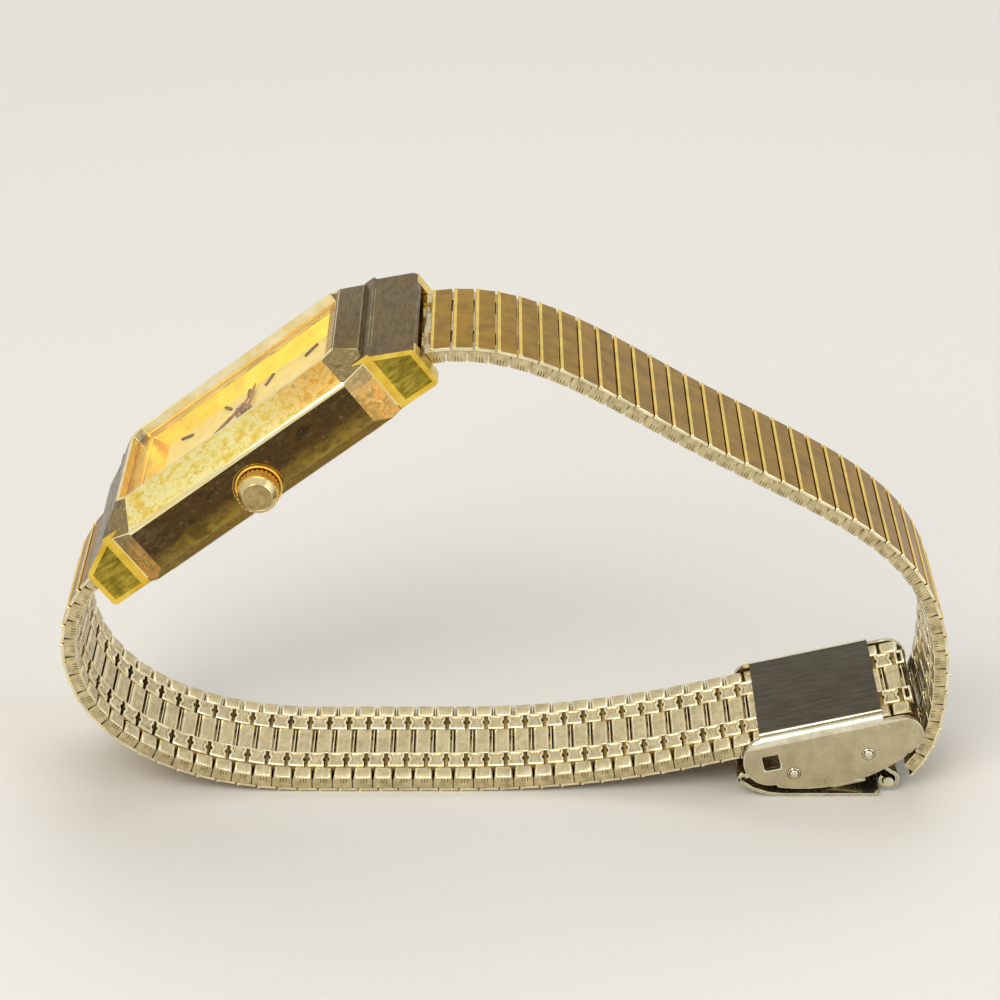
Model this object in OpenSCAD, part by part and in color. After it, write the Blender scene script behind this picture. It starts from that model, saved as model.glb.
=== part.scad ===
// Rectangular quartz wristwatch on a strap of hinged links with a sliding clasp.
// The watch stands by itself as a closed loop, on the outer face of its strap.
// X runs along the loop, Y across the strap, Z up; the crown points to -Y.

/* [Strap] */
// Width of the strap
strap_w = 14; // [12:0.5:16]
// Distance from one link pin to the next
link_pitch = 2; // [1.9:0.05:2.3]
// Thickness of the outer cap of a link
cap_t = 0.4; // [0.3:0.05:0.5]
// Gap between the caps of two links lying straight
cap_gap = 0.15; // [0.12:0.01:0.2]
// From the pin axis out to the underside of the cap
body_out = 0.55; // [0.5:0.01:0.65]
// From the pin axis in to the wrist side of a link
body_in = 0.65; // [0.6:0.01:0.75]
// Radius of the knuckle round a link pin
knuckle_r = 0.5; // [0.45:0.01:0.52]
// Diameter of a link pin
pin_d = 0.5; // [0.4:0.05:0.6]
// Width of a link's edge row
edge_row_w = 2; // [1.5:0.1:2.2]
// Width of a link's bracket row
bracket_row_w = 2.5; // [2:0.1:2.8]
// Gap between two rows of a link
row_gap = 0.2; // [0.15:0.01:0.25]

/* [Case] */
// Width of the case across the strap
case_w = 21.5; // [20.5:0.1:23]
// Length of the case and lugs
case_len = 39.4; // [39:0.1:41]
// Height of the case from its underside to the rim
case_h = 8; // [7.8:0.05:8.6]
// Length of the crystal
crystal_len = 25.6; // [24.6:0.1:26]
// Width of the crystal
crystal_w = 15; // [14:0.1:15.6]
// Thickness of the crystal
crystal_t = 1; // [0.8:0.05:1.1]
// Outer width over the two lugs
lug_span = 18.4; // [18:0.1:19]
// Diameter of a spring bar
spring_bar_d = 1.2; // [1:0.05:1.4]
// Thickness of the case back
back_t = 1.1; // [0.9:0.05:1.2]

/* [Crown] */
// Diameter of the crown
crown_d = 3.8; // [3.2:0.1:4.2]
// Length of the crown
crown_len = 2.6; // [2.2:0.1:3]
// Diameter of the winding stem
stem_d = 0.8; // [0.7:0.05:0.9]
// Height of the stem above the case back's outer face
stem_h = 2.5; // [2.4:0.05:2.6]

/* [Movement] */
// Diameter of the battery
battery_d = 6.8; // [6.4:0.1:7]
// Thickness of the battery
battery_t = 1.6; // [1.2:0.1:1.7]
// From the minute hand's tip to the dial surround, at 3 o'clock
minute_tip_gap = 0.3; // [0.2:0.05:1]
// Length of the hour hand
hour_len = 5.2; // [4.4:0.1:5.4]
// Hour that the hands show
shown_hour = 9; // [1:1:12]
// Minute that the hands show
shown_minute = 24; // [0:1:59]

/* [Clasp] */
// Length of the clasp's floor plate
floor_len = 12.3; // [11:0.1:13]
// Thickness of the clasp's sheet
sheet_t = 0.5; // [0.4:0.05:0.6]
// Radius of the strap-side ends of the clasp's side plates
side_end_r = 2.8; // [2.6:0.1:3]
// Diameter of the two bars across the clasp
crossbar_d = 1; // [0.8:0.05:1.2]
// Diameter of the lid's hinge pin
lid_pin_d = 1; // [0.8:0.05:1.1]
// Length of the lid's flat stretch
lid_flat = 9.7; // [8.8:0.1:9.9]

/* [Stance] */
// Lean of the watch head, its 12 o'clock end up
head_tilt = 37; // [36:0.5:38]
// Place of the case back's centre along the loop
head_x = -21.7; // [-22.6:0.1:-20.6]
// Height of the case back's centre
head_z = 34; // [33:0.1:35]
// Where the strap starts to lie flat
flat_start = -19.2; // [-20.6:0.1:-17.6]
// Where the strap starts to rise to the clasp
flat_end = -4.6; // [-5.6:0.1:-3.6]
// Radius of the rise to the clasp
rise_r = 102; // [98:1:106]
// Angle of the strap in the clasp
rise_angle = 13.5; // [13:0.1:14]

/* [Hidden] */
$fn = 32;
sliver = 0.01;

// Fits
pin_clear = 0.05;
seat_clear = 0.05;
side_clear = 0.4;
gear_clear = 0.06;
slot_clear = 0.2;
turn_clear = 0.4;
weld = 0.1;

// Colours
gold = [0.83, 0.66, 0.30];
steel = [0.72, 0.71, 0.68];
dark_steel = [0.36, 0.35, 0.33];

// Strap section
centre_row_w = strap_w - 2 * edge_row_w - 2 * bracket_row_w - 4 * row_gap;
web_t = 0.15;
block_back = knuckle_r + 0.3;
bracket_out = 0.2;
bracket_in = body_in + 0.1;
bracket_back = 1.1;
bracket_front = 0.55;
strap_out = body_out + cap_t;
end_knuckle_r = spring_bar_d / 2 + 0.35;
pin_inset = 0.6;

// Head levels, from the case back's outer face up
body_z = 0.3;
seal_t = 0.3;
wall_low = 1.4;
wall_high = 6.1;
rim_z = body_z + case_h;
crystal_z = rim_z - crystal_t;
flange_t = 0.4;
flange_z = crystal_z - flange_t;
gasket_t = 0.12;
dial_t = 0.4;
dial_depth = 1.3;
dial_top = flange_z - dial_depth;
holder_top = dial_top - dial_t;
hand_t = 0.15;
hand_gap = 0.3;
hand_z = dial_top + 0.35;

// Head plan
rim_w = 0.35;
bezel_len = crystal_len + 2 * rim_w + 2 * seat_clear;
bezel_w = crystal_w + 2 * rim_w + 2 * seat_clear;
block_len = 30.4;
ridge_x = 16;
ridge_z = 6.6;
ridge_step = 0.3;
lug_x = case_len / 2;
lug_end_z = 4.5;
corner_angle = 56;
corner_wall = 16.1;
corner_rim = 13.2;
cavity_len = 23.8;
cavity_w = 16.6;
opening_len = crystal_len - 2.8;
opening_w = crystal_w - 1.2;
surround_slope = 1.1;
crystal_cut = 0.9;
back_len = cavity_len + 1.4;
back_w = cavity_w + 1.6;
back_rim = 0.6;
slot_w = strap_w + 2 * slot_clear;
hood_t = 0.7;
bar_x = lug_x - 1.7;
bar_z = 2.9;
bar_tip_r = 0.35;
lug_skin = 0.6;
base_bevel = 0.9;

// Crown and stem
tube_r = stem_d / 2 + 0.35;
crown_recess = 0.4;
crown_gap = 0.35;
crown_y = -case_w / 2 + crown_recess - crown_gap;
crown_socket = 1.2;
crown_ribs = 24;
gasket_in = 1.5;
gasket_len = 0.7;
stem_end_y = -3.35;
// Half of what the crown adds to the width, so that Y 0 is the middle of the whole watch
mid_y = (crown_len - crown_y - case_w / 2) / 2;

// Dial and hands
minute_angle = 6 * shown_minute;
hour_angle = 30 * shown_hour + shown_minute / 2;
minute_z = hand_z + hand_t + hand_gap;
minute_len = opening_w / 2 - surround_slope * (1 - (minute_z - dial_top) / dial_depth)
    - minute_tip_gap;
hour_hub_r = 0.95;
minute_hub_r = 0.7;
baton = [1.8, 0.3, 0.2];
baton_x = opening_len / 2 - 2.6;
baton_y = opening_w / 2 - 2.4;

// Movement plan
plate_len = 19;
plate_w = 14.2;
plate_z = 3.4;
cannon_teeth = 8;
minute_wheel_teeth = 24;
minute_pinion_teeth = 6;
hour_wheel_teeth = 24;
motion_module = 0.15;
hour_module = motion_module * (cannon_teeth + minute_wheel_teeth)
    / (minute_pinion_teeth + hour_wheel_teeth);
motion_dist = motion_module * (cannon_teeth + minute_wheel_teeth) / 2 + gear_clear;
centre_teeth = 36;
third_pinion_teeth = 6;
third_teeth = 30;
rotor_pinion_teeth = 6;
train_module = 0.14;
rotor_module = 0.13;
third_dist = train_module * (centre_teeth + third_pinion_teeth) / 2 + gear_clear;
rotor_dist = rotor_module * (third_teeth + rotor_pinion_teeth) / 2 + gear_clear;
rotor_angle = 40;
third_at = [0, third_dist];
rotor_at = third_at + rotor_dist * [cos(rotor_angle), sin(rotor_angle)];
// Direction of the minute wheel seen from the middle of the movement
minute_wheel_dir = 225;
// Thickness of the two motion wheels and height of the pinion on the minute wheel
motion_wheel_t = 0.3;
minute_pinion_h = 0.55;
minute_at = [motion_dist * cos(minute_wheel_dir), motion_dist * sin(minute_wheel_dir)];
battery_at = [-6, -2.6];
clip_t = 0.15;
clip_w = 1.6;
arbor_r = 0.3;
pivot_r = 0.15;
magnet_r = 1;
hour_pipe_r = 0.62;
hour_bore_r = 0.36;
pipe_clear = 0.2;
motion_z = holder_top - 0.95;
wheel_room = 0.4;
bridge_t = 0.4;
bridge_x = [-2.4, 5.4];
bridge_y = -2.6;
post = 1;
train_floor = 1.75;
train_z = train_floor + bridge_t;
third_wheel_z = train_z + 0.1;
centre_wheel_z = train_z + 0.55;
board_x = 1;
board_y = -1;
board_t = 0.3;
stator_t = 0.4;
stator_z = plate_z - stator_t;
stator_half = 1.6;
coil_x = 7.2;
coil_len = 6.4;
coil_r = 0.5;
coil_y = -0.8;

// Clasp plan, in a frame on the strap's pin line with Z to the wrist side
side_in = strap_w / 2 + side_clear;
side_out = side_in + sheet_t + 0.1;
floor_z = bracket_in + 0.2;
floor_x = -5.2;
side_end_x = -4.6;
left_bar = [-2.65, -3.2];
right_bar = [4.95, -2.7];
lid_pin_at = [6.3, -6.73];
lid_curve_r = 7;
lid_lift = 39;
lid_knuckle_w = 6.2;
eye_wall = 0.6;
bar_eye_r = crossbar_d / 2 + pin_clear;
lid_eye_r = lid_pin_d / 2 + pin_clear;
curl_r = lid_eye_r + eye_wall;
flap_t = 0.4;
flap_knee = [0.9, -5.75];
flap_lip = [4.1, -5.65];
hook_turn = [7.2, -4.9];
hook_turn_r = 1.15;
hook_w = 2 * side_in - 0.6;
flap_w = 2 * side_in - 0.4;

// The clasp lies as far up the strap as lets its lid lie on the surface below
curl_lift = 0.25;
lid_low = 0.03;
lid_pin_z = curl_r + curl_lift;

// Head frame: X to 12 o'clock, Z out of the dial
module at_head() translate([head_x, mid_y, head_z]) rotate([0, -head_tilt, 0]) children();
function head_point(x, z) = [head_x + x * cos(head_tilt) - z * sin(head_tilt),
    head_z + x * sin(head_tilt) + z * cos(head_tilt)];

// Routes of the two strands, as the pins' places in X and Z
function heading(a) = [cos(a), sin(a)];
function blend_point(a, b, c, d, t) = (1 - t) ^ 3 * a + 3 * (1 - t) ^ 2 * t * b
    + 3 * (1 - t) * t ^ 2 * c + t ^ 3 * d;
function bend(start, start_dir, start_pull, end, end_dir, end_pull, steps = 40) =
    let(span = norm(end - start))
    [for (i = [1:steps]) blend_point(start, start + start_pull * span * heading(start_dir),
        end - end_pull * span * heading(end_dir), end, i / steps)];
function lengths(route) = [for (i = 0, s = 0; i < len(route);
    s = s + (i + 1 < len(route) ? norm(route[i + 1] - route[i]) : 0), i = i + 1) s];
function spread(route, count) = let(s = lengths(route), n = len(route),
        xs = [for (i = [0:n - 1]) [s[i], route[i][0]]],
        zs = [for (i = [0:n - 1]) [s[i], route[i][1]]])
    [for (k = [0:count]) [lookup(s[n - 1] * k / count, xs), lookup(s[n - 1] * k / count, zs)]];
function link_count(route) = round(lengths(route)[len(route) - 1] / link_pitch);

bar_12 = head_point(bar_x, bar_z);
bar_6 = head_point(-bar_x, bar_z);
rise_start = [flat_end, strap_out];
rise_end = rise_start + rise_r * [sin(rise_angle), 1 - cos(rise_angle)];
clasp_along = (lid_pin_z - rise_end[1] - lid_pin_at[0] * sin(rise_angle)
    - lid_pin_at[1] * cos(rise_angle)) / sin(rise_angle);
clasp_at = rise_end + clasp_along * heading(rise_angle);
// How far the tail of the 6 o'clock strand reaches past the middle of the clasp
tail_reach = 10.6;
tail_end = clasp_at + tail_reach * heading(rise_angle);
function clasp_point(p) = clasp_at + p[0] * heading(rise_angle) + p[1] * heading(rise_angle + 90);

// Places that the strands pass through and their directions there: the end of the 12 o'clock
// strand in the clasp, its steep side above that, its long slope, and the 6 o'clock side
end_12_x = 8.1;
end_12_z = -6.35;
end_dir_12 = -130;
side_12_x = 2.8;
side_12_z = 9.4;
side_dir_12 = -91;
slope_x = 16.4;
slope_z = 39.2;
slope_dir_12 = -30;
leave_dir_12 = 16;
side_6_x = -4.8;
side_6_z = -10.4;
side_dir_6 = -84;
leave_dir_6 = -145;
end_12 = clasp_point([end_12_x, end_12_z]);
side_12 = end_12 + [side_12_x, side_12_z];
slope_12 = [slope_x, slope_z];
route_12 = concat([bar_12], bend(bar_12, leave_dir_12, 0.36, slope_12, slope_dir_12, 0.36),
    bend(slope_12, slope_dir_12, 0.5, side_12, side_dir_12, 0.42),
    bend(side_12, side_dir_12, 0.35, end_12, end_dir_12, 0.35));
side_6 = bar_6 + [side_6_x, side_6_z];
route_6 = concat([bar_6], bend(bar_6, leave_dir_6, 0.36, side_6, side_dir_6, 0.36),
    bend(side_6, side_dir_6, 0.33, [flat_start, strap_out], 0, 0.47),
    [for (x = [flat_start + 1:1:flat_end]) [x, strap_out]],
    [for (a = [rise_angle / 12:rise_angle / 12:rise_angle + sliver])
        rise_start + rise_r * [sin(a), 1 - cos(a)]],
    [tail_end]);
count_12 = link_count(route_12);
count_6 = link_count(route_6);
pins_12 = spread(route_12, count_12);
pins_6 = spread(route_6, count_6);
runs_12 = 8;
runs_6 = 11;
function first_link(run, runs, count) = round((run - 1) * count / runs);

module bar(r, len, at = [0, 0]) translate([at[0], 0, at[1]]) rotate([90, 0, 0])
    cylinder(r = r, h = len, center = true);

module box(x0, x1, y0, y1, z0, z1) translate([x0, y0, z0]) cube([x1 - x0, y1 - y0, z1 - z0]);

module both_sides() {
    children();
    mirror([0, 1, 0]) children();
}

// Strap link: its own pin hinge at X 0, the next link's at X pitch, Z to the outside.
// A strand's first link turns under the case's hood, so it has no cap.
module link_block(pitch, y0, y1, r, bore) {
    difference() {
        union() {
            translate([0, y1, 0]) rotate([90, 0, 0]) cylinder(r = r, h = y1 - y0);
            box(0, pitch - block_back, y0, y1, -body_in, body_out);
        }
        translate([0, y1 + sliver, 0]) rotate([90, 0, 0])
            cylinder(r = bore, h = y1 - y0 + 2 * sliver);
    }
}

module link_bracket(pitch, front) {
    y0 = centre_row_w / 2 + row_gap;
    y1 = y0 + bracket_row_w;
    box(pitch - bracket_back, pitch - block_back + weld, y0, y1, -bracket_in, body_out - sliver);
    box(pitch - bracket_back, pitch + front, y0, y1, -bracket_in, bracket_out);
}

module link_body(pitch, first, last) {
    r = first ? end_knuckle_r : knuckle_r;
    bore = (first ? spring_bar_d : pin_d) / 2 + pin_clear;
    inner = strap_w / 2 - edge_row_w;
    union() {
        box(first ? bore + weld : 0, pitch - block_back + weld, -strap_w / 2, strap_w / 2,
            body_out - web_t, body_out);
        link_block(pitch, -centre_row_w / 2, centre_row_w / 2, r, bore);
        both_sides() {
            link_block(pitch, inner, strap_w / 2, r, bore);
            link_bracket(pitch, last ? -0.2 : bracket_front);
        }
        if (!last) bar(pin_d / 2, strap_w - 2 * pin_inset, [pitch, 0]);
    }
}

module link(pitch, first, last) {
    color(steel) link_body(pitch, first, last);
    if (!first) color(gold)
        box(cap_gap / 2, pitch - cap_gap / 2, -strap_w / 2, strap_w / 2, body_out, strap_out);
}

module strand_run(run, runs, pins, outside) {
    count = len(pins) - 1;
    for (i = [first_link(run, runs, count):first_link(run + 1, runs, count) - 1]) {
        step = pins[i + 1] - pins[i];
        translate([pins[i][0], mid_y, pins[i][1]]) rotate([0, -atan2(step[1], step[0]), 0])
            mirror([0, 0, outside < 0 ? 1 : 0]) link(norm(step), i == 0, i == count - 1);
    }
}
module run_12(run) strand_run(run, runs_12, pins_12, 1);
module run_6(run) strand_run(run, runs_6, pins_6, -1);

// Prisms that run through the head along X, along Y or across a corner
module along_x(len) rotate([90, 0, 90]) linear_extrude(len, center = true) children();
module along_y(len) rotate([90, 0, 0]) linear_extrude(len, center = true) children();

module side_profile() polygon([[-lug_x, body_z], [lug_x, body_z], [lug_x, lug_end_z],
    [ridge_x + 0.1, ridge_z - ridge_step], [ridge_x, ridge_z], [bezel_len / 2, rim_z],
    [-bezel_len / 2, rim_z], [-ridge_x, ridge_z], [-ridge_x - 0.1, ridge_z - ridge_step],
    [-lug_x, lug_end_z]]);

module end_profile() polygon([[base_bevel - case_w / 2, body_z],
    [case_w / 2 - base_bevel, body_z], [case_w / 2, wall_low], [case_w / 2, wall_high],
    [bezel_w / 2, rim_z], [-bezel_w / 2, rim_z], [-case_w / 2, wall_high],
    [-case_w / 2, wall_low]]);

module corner_profile() polygon([[-corner_wall, 0], [corner_wall, 0], [corner_wall, wall_high],
    [corner_rim, rim_z + sliver], [-corner_rim, rim_z + sliver], [-corner_wall, wall_high]]);

module case_solid() {
    intersection() {
        along_y(case_w) side_profile();
        along_x(block_len) end_profile();
        rotate([0, 0, corner_angle]) along_y(60) corner_profile();
        rotate([0, 0, -corner_angle]) along_y(60) corner_profile();
    }
    intersection() {
        along_y(lug_span) side_profile();
        union() {
            box(block_len / 2 - 1, lug_x, -lug_span / 2, lug_span / 2, 0, ridge_z);
            box(-lug_x, 1 - block_len / 2, -lug_span / 2, lug_span / 2, 0, ridge_z);
        }
    }
}

// Room for the strap between the lugs, open at the end and underneath
module lug_slot() {
    slot_x = bar_x - end_knuckle_r - turn_clear;
    hood_drop = (ridge_z - ridge_step - lug_end_z) / (lug_x - ridge_x);
    along_y(slot_w) polygon([[slot_x, -1], [lug_x + 1, -1],
        [lug_x + 1, lug_end_z - hood_t - hood_drop], [slot_x, lug_end_z - hood_t
            + hood_drop * (lug_x - slot_x)]]);
}

// Crystal outline, drawn in or let out by a margin
module crystal_plan(margin) {
    half_l = crystal_len / 2 + margin;
    half_w = crystal_w / 2 + margin;
    cut = crystal_cut;
    polygon([[half_l, half_w - cut], [half_l - cut, half_w], [cut - half_l, half_w],
        [-half_l, half_w - cut], [-half_l, cut - half_w], [cut - half_l, -half_w],
        [half_l - cut, -half_w], [half_l, cut - half_w]]);
}

module case_body() color(dark_steel) at_head() difference() {
    case_solid();
    lug_slot();
    mirror([1, 0, 0]) lug_slot();
    box(-cavity_len / 2, cavity_len / 2, -cavity_w / 2, cavity_w / 2, 0, flange_z);
    box(-opening_len / 2, opening_len / 2, -opening_w / 2, opening_w / 2, flange_z - 1, rim_z);
    translate([0, 0, crystal_z - sliver]) linear_extrude(crystal_t + 2 * sliver)
        crystal_plan(seat_clear);
    box(-back_len / 2 - seat_clear, back_len / 2 + seat_clear, -back_w / 2 - seat_clear,
        back_w / 2 + seat_clear, 0, back_t);
    translate([0, 0, stem_h]) rotate([90, 0, 0]) cylinder(r = tube_r, h = case_w);
    translate([0, -case_w / 2 + crown_recess, stem_h]) rotate([90, 0, 0])
        cylinder(r = crown_d / 2 + 0.5, h = 3);
    for (side = [-1, 1])
        bar(bar_tip_r + pin_clear, lug_span - 2 * lug_skin, [side * bar_x, bar_z]);
}

module crystal() color([0.85, 0.88, 0.85, 0.4]) at_head()
    translate([0, 0, crystal_z + gasket_t]) linear_extrude(crystal_t - gasket_t) crystal_plan(0);

module crystal_gasket() color([0.2, 0.2, 0.2]) at_head() difference() {
    translate([0, 0, crystal_z]) linear_extrude(gasket_t) crystal_plan(-seat_clear);
    box(-opening_len / 2, opening_len / 2, -opening_w / 2, opening_w / 2, 0, rim_z);
}

module dial_surround() color(gold) at_head() {
    slope = surround_slope;
    difference() {
        box(-cavity_len / 2 + seat_clear, cavity_len / 2 - seat_clear,
            -cavity_w / 2 + seat_clear, cavity_w / 2 - seat_clear, dial_top, flange_z);
        intersection() {
            along_y(cavity_w) polygon([[slope - opening_len / 2, dial_top],
                [opening_len / 2 - slope, dial_top], [opening_len / 2, flange_z],
                [-opening_len / 2, flange_z]]);
            along_x(cavity_len) polygon([[slope - opening_w / 2, dial_top],
                [opening_w / 2 - slope, dial_top], [opening_w / 2, flange_z],
                [-opening_w / 2, flange_z]]);
        }
    }
}

module dial() color([0.93, 0.87, 0.66]) at_head() difference() {
    box(-cavity_len / 2 + seat_clear, cavity_len / 2 - seat_clear, -cavity_w / 2 + seat_clear,
        cavity_w / 2 - seat_clear, holder_top, dial_top);
    translate([0, 0, holder_top - 1]) cylinder(r = hour_pipe_r + pipe_clear, h = 3);
}

// Batons stand on a rectangle, each on its hour's line from the centre
module hour_markers() color([0.55, 0.42, 0.18]) at_head() {
    for (hour = [1:12]) {
        a = hour * 30;
        reach = min(baton_x / max(abs(cos(a)), sliver), baton_y / max(abs(sin(a)), sliver));
        translate([reach * cos(a), -reach * sin(a), dial_top]) rotate([0, 0, -a])
            translate([-baton[0] / 2, -baton[1] / 2, 0]) cube(baton);
    }
}

// Toothed wheel: straight-sided teeth, narrow enough to run in mesh without touching
module wheel(teeth, gear_module, thickness, turn = 0) {
    pitch_r = teeth * gear_module / 2;
    root = pitch_r - 1.1 * gear_module;
    tip = pitch_r + 0.7 * gear_module;
    step = 360 / teeth;
    linear_extrude(thickness) polygon([for (i = [0:teeth - 1]) for (corner = [[-0.25, root],
        [-0.09, tip], [0.09, tip], [0.25, root]]) let(a = turn + (i + corner[0]) * step)
            corner[1] * [cos(a), sin(a)]]);
}

module hour_hand() color(gold) at_head() translate([0, 0, hand_z]) rotate([0, 0, -hour_angle])
    difference() {
        union() {
            cylinder(r = hour_hub_r, h = hand_t);
            linear_extrude(hand_t) polygon([[0, -0.3], [hour_len * 0.35, -0.5], [hour_len, 0],
                [hour_len * 0.35, 0.5], [0, 0.3]]);
        }
        translate([0, 0, -1]) cylinder(r = hour_pipe_r, h = 2);
        translate([0, 0, -1]) linear_extrude(2) polygon([[1.3, -0.18], [hour_len * 0.38, -0.3],
            [hour_len * 0.75, 0], [hour_len * 0.38, 0.3], [1.3, 0.18]]);
    }

module minute_hand() color(gold) at_head() translate([0, 0, minute_z])
    rotate([0, 0, -minute_angle]) difference() {
        union() {
            cylinder(r = minute_hub_r, h = hand_t);
            linear_extrude(hand_t) polygon([[0, -0.22], [minute_len * 0.3, -0.34],
                [minute_len, 0], [minute_len * 0.3, 0.34], [0, 0.22]]);
        }
        translate([0, 0, -1]) cylinder(r = arbor_r, h = 2);
    }

module cannon_pinion() color(steel) at_head() {
    top = minute_z + hand_t + 0.1;
    translate([0, 0, train_floor]) cylinder(r = pivot_r, h = 0.5);
    translate([0, 0, train_floor + 0.4]) cylinder(r = arbor_r, h = top - train_floor - 0.4);
    translate([0, 0, motion_z]) wheel(cannon_teeth, motion_module, 0.4);
}

module centre_wheel() color(gold) at_head() translate([0, 0, centre_wheel_z]) difference() {
    wheel(centre_teeth, train_module, 0.2);
    translate([0, 0, -1]) cylinder(r = arbor_r, h = 2);
}

module hour_wheel() color(gold) at_head() difference() {
    union() {
        translate([0, 0, motion_z + 0.5])
            wheel(hour_wheel_teeth, hour_module, motion_wheel_t, 180 / hour_wheel_teeth);
        translate([0, 0, motion_z + 0.5])
            cylinder(r = hour_pipe_r, h = hand_z + hand_t - motion_z - 0.5);
    }
    cylinder(r = hour_bore_r, h = 20);
}

module minute_wheel() color(gold) at_head() translate([minute_at[0], minute_at[1], 0]) difference() {
    union() {
        translate([0, 0, motion_z]) wheel(minute_wheel_teeth, motion_module, motion_wheel_t,
            minute_wheel_dir + 180 / minute_wheel_teeth);
        translate([0, 0, motion_z + motion_wheel_t])
            wheel(minute_pinion_teeth, hour_module, minute_pinion_h, minute_wheel_dir);
    }
    cylinder(r = pivot_r + pin_clear, h = 20);
}

module third_wheel() color(gold) at_head() translate([third_at[0], third_at[1], 0]) {
    translate([0, 0, train_floor]) cylinder(r = pivot_r, h = plate_z + 0.3 - train_floor);
    translate([0, 0, third_wheel_z]) wheel(third_teeth, rotor_module, 0.2, rotor_angle);
    translate([0, 0, third_wheel_z + 0.2])
        wheel(third_pinion_teeth, train_module, centre_wheel_z - third_wheel_z + 0.1);
}

module rotor() color([0.25, 0.25, 0.27]) at_head() translate([rotor_at[0], rotor_at[1], 0]) {
    translate([0, 0, train_floor]) cylinder(r = pivot_r, h = plate_z + 0.3 - train_floor);
    translate([0, 0, train_z + 0.05])
        wheel(rotor_pinion_teeth, rotor_module, 0.35, rotor_angle + 180 / rotor_pinion_teeth);
    translate([0, 0, train_z + 0.4]) cylinder(r = magnet_r, h = plate_z - train_z - 0.5);
}

module stator() color(steel) at_head() difference() {
    union() {
        box(rotor_at[0] - stator_half, coil_x + 1, rotor_at[1] - stator_half,
            rotor_at[1] + stator_half, stator_z, plate_z);
        box(coil_x - 1, coil_x + 1, coil_y - coil_len / 2 - 1, rotor_at[1] + stator_half,
            stator_z, plate_z);
    }
    translate([rotor_at[0], rotor_at[1], 0]) cylinder(r = magnet_r + 0.2, h = 20);
    translate([third_at[0], third_at[1], 0])
        cylinder(r = third_pinion_teeth * train_module / 2 + 0.3, h = 20);
    box(coil_x - 1.2, coil_x + 1.2, coil_y - coil_len / 2, coil_y + coil_len / 2, 0, 20);
}

module coil() color([0.62, 0.30, 0.14]) at_head() translate([coil_x, coil_y, plate_z - coil_r])
    rotate([90, 0, 0]) cylinder(r = coil_r, h = coil_len, center = true);

module movement_plate() color(steel) at_head() difference() {
    box(-plate_len / 2, plate_len / 2, -plate_w / 2, plate_w / 2, plate_z, holder_top);
    translate([0, 0, motion_z - 0.1])
        cylinder(r = hour_module * hour_wheel_teeth / 2 + wheel_room, h = 9);
    translate([minute_at[0], minute_at[1], motion_z - 0.1])
        cylinder(r = motion_module * minute_wheel_teeth / 2 + wheel_room, h = 9);
    cylinder(r = arbor_r + pin_clear, h = 20);
    for (at = [third_at, rotor_at])
        translate([at[0], at[1], 0]) cylinder(r = pivot_r + pin_clear, h = plate_z + 0.4);
    translate([minute_at[0], minute_at[1], 0]) cylinder(r = pivot_r, h = 20);
}

module train_bridge() color(steel) at_head() difference() {
    union() {
        box(bridge_x[0], bridge_x[1], bridge_y, plate_w / 2, train_floor, train_z);
        box(bridge_x[0], bridge_x[0] + post, bridge_y - post, bridge_y, train_floor, plate_z);
        for (x = [bridge_x[0], bridge_x[1] - post])
            box(x, x + post, plate_w / 2 - 0.8, plate_w / 2, train_floor, plate_z);
    }
    for (at = [[0, 0], third_at, rotor_at])
        translate([at[0], at[1], 0]) cylinder(r = pivot_r + pin_clear, h = 20);
}

module circuit_board() color([0.16, 0.34, 0.22]) at_head()
    box(board_x, plate_len / 2, -plate_w / 2, board_y, train_floor - board_t, train_floor);

module battery() color([0.75, 0.75, 0.74]) at_head() translate([battery_at[0], battery_at[1],
    plate_z - battery_t - 0.1]) cylinder(r = battery_d / 2, h = battery_t);

module battery_clip() color(steel) at_head() {
    clip_z = plate_z - battery_t - 0.1 - clip_t;
    clip_x = battery_at[0] - clip_w / 2;
    clip_y = plate_w / 2 - 0.2;
    box(clip_x, clip_x + clip_w, battery_at[1] - 3, clip_y, clip_z, clip_z + clip_t);
    box(clip_x, clip_x + clip_w, clip_y - clip_t, clip_y, clip_z, plate_z);
}

module movement_holder() color([0.85, 0.85, 0.82]) at_head() difference() {
    box(-cavity_len / 2 + seat_clear, cavity_len / 2 - seat_clear, -cavity_w / 2 + seat_clear,
        cavity_w / 2 - seat_clear, back_t, holder_top);
    box(-plate_len / 2 - seat_clear, plate_len / 2 + seat_clear, -plate_w / 2 - seat_clear,
        plate_w / 2 + seat_clear, 0, holder_top + 1);
    box(-stem_d, stem_d, -cavity_w, 0, 0, stem_h + stem_d);
}

module case_back() color(steel) at_head() {
    rim_l = cavity_len / 2 - 0.1;
    rim_b = cavity_w / 2 - 0.1;
    box(-back_len / 2, back_len / 2, -back_w / 2, back_w / 2, 0, back_t - seal_t);
    difference() {
        box(-rim_l, rim_l, -rim_b, rim_b, 0, back_t);
        box(back_rim - rim_l, rim_l - back_rim, back_rim - rim_b, rim_b - back_rim,
            back_t - seal_t, 9);
    }
}

module back_gasket() color([0.15, 0.15, 0.15]) at_head() difference() {
    box(-back_len / 2 + 0.05, back_len / 2 - 0.05, -back_w / 2 + 0.05, back_w / 2 - 0.05,
        back_t - seal_t, back_t);
    box(-cavity_len / 2, cavity_len / 2, -cavity_w / 2, cavity_w / 2, 0, 9);
}

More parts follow.
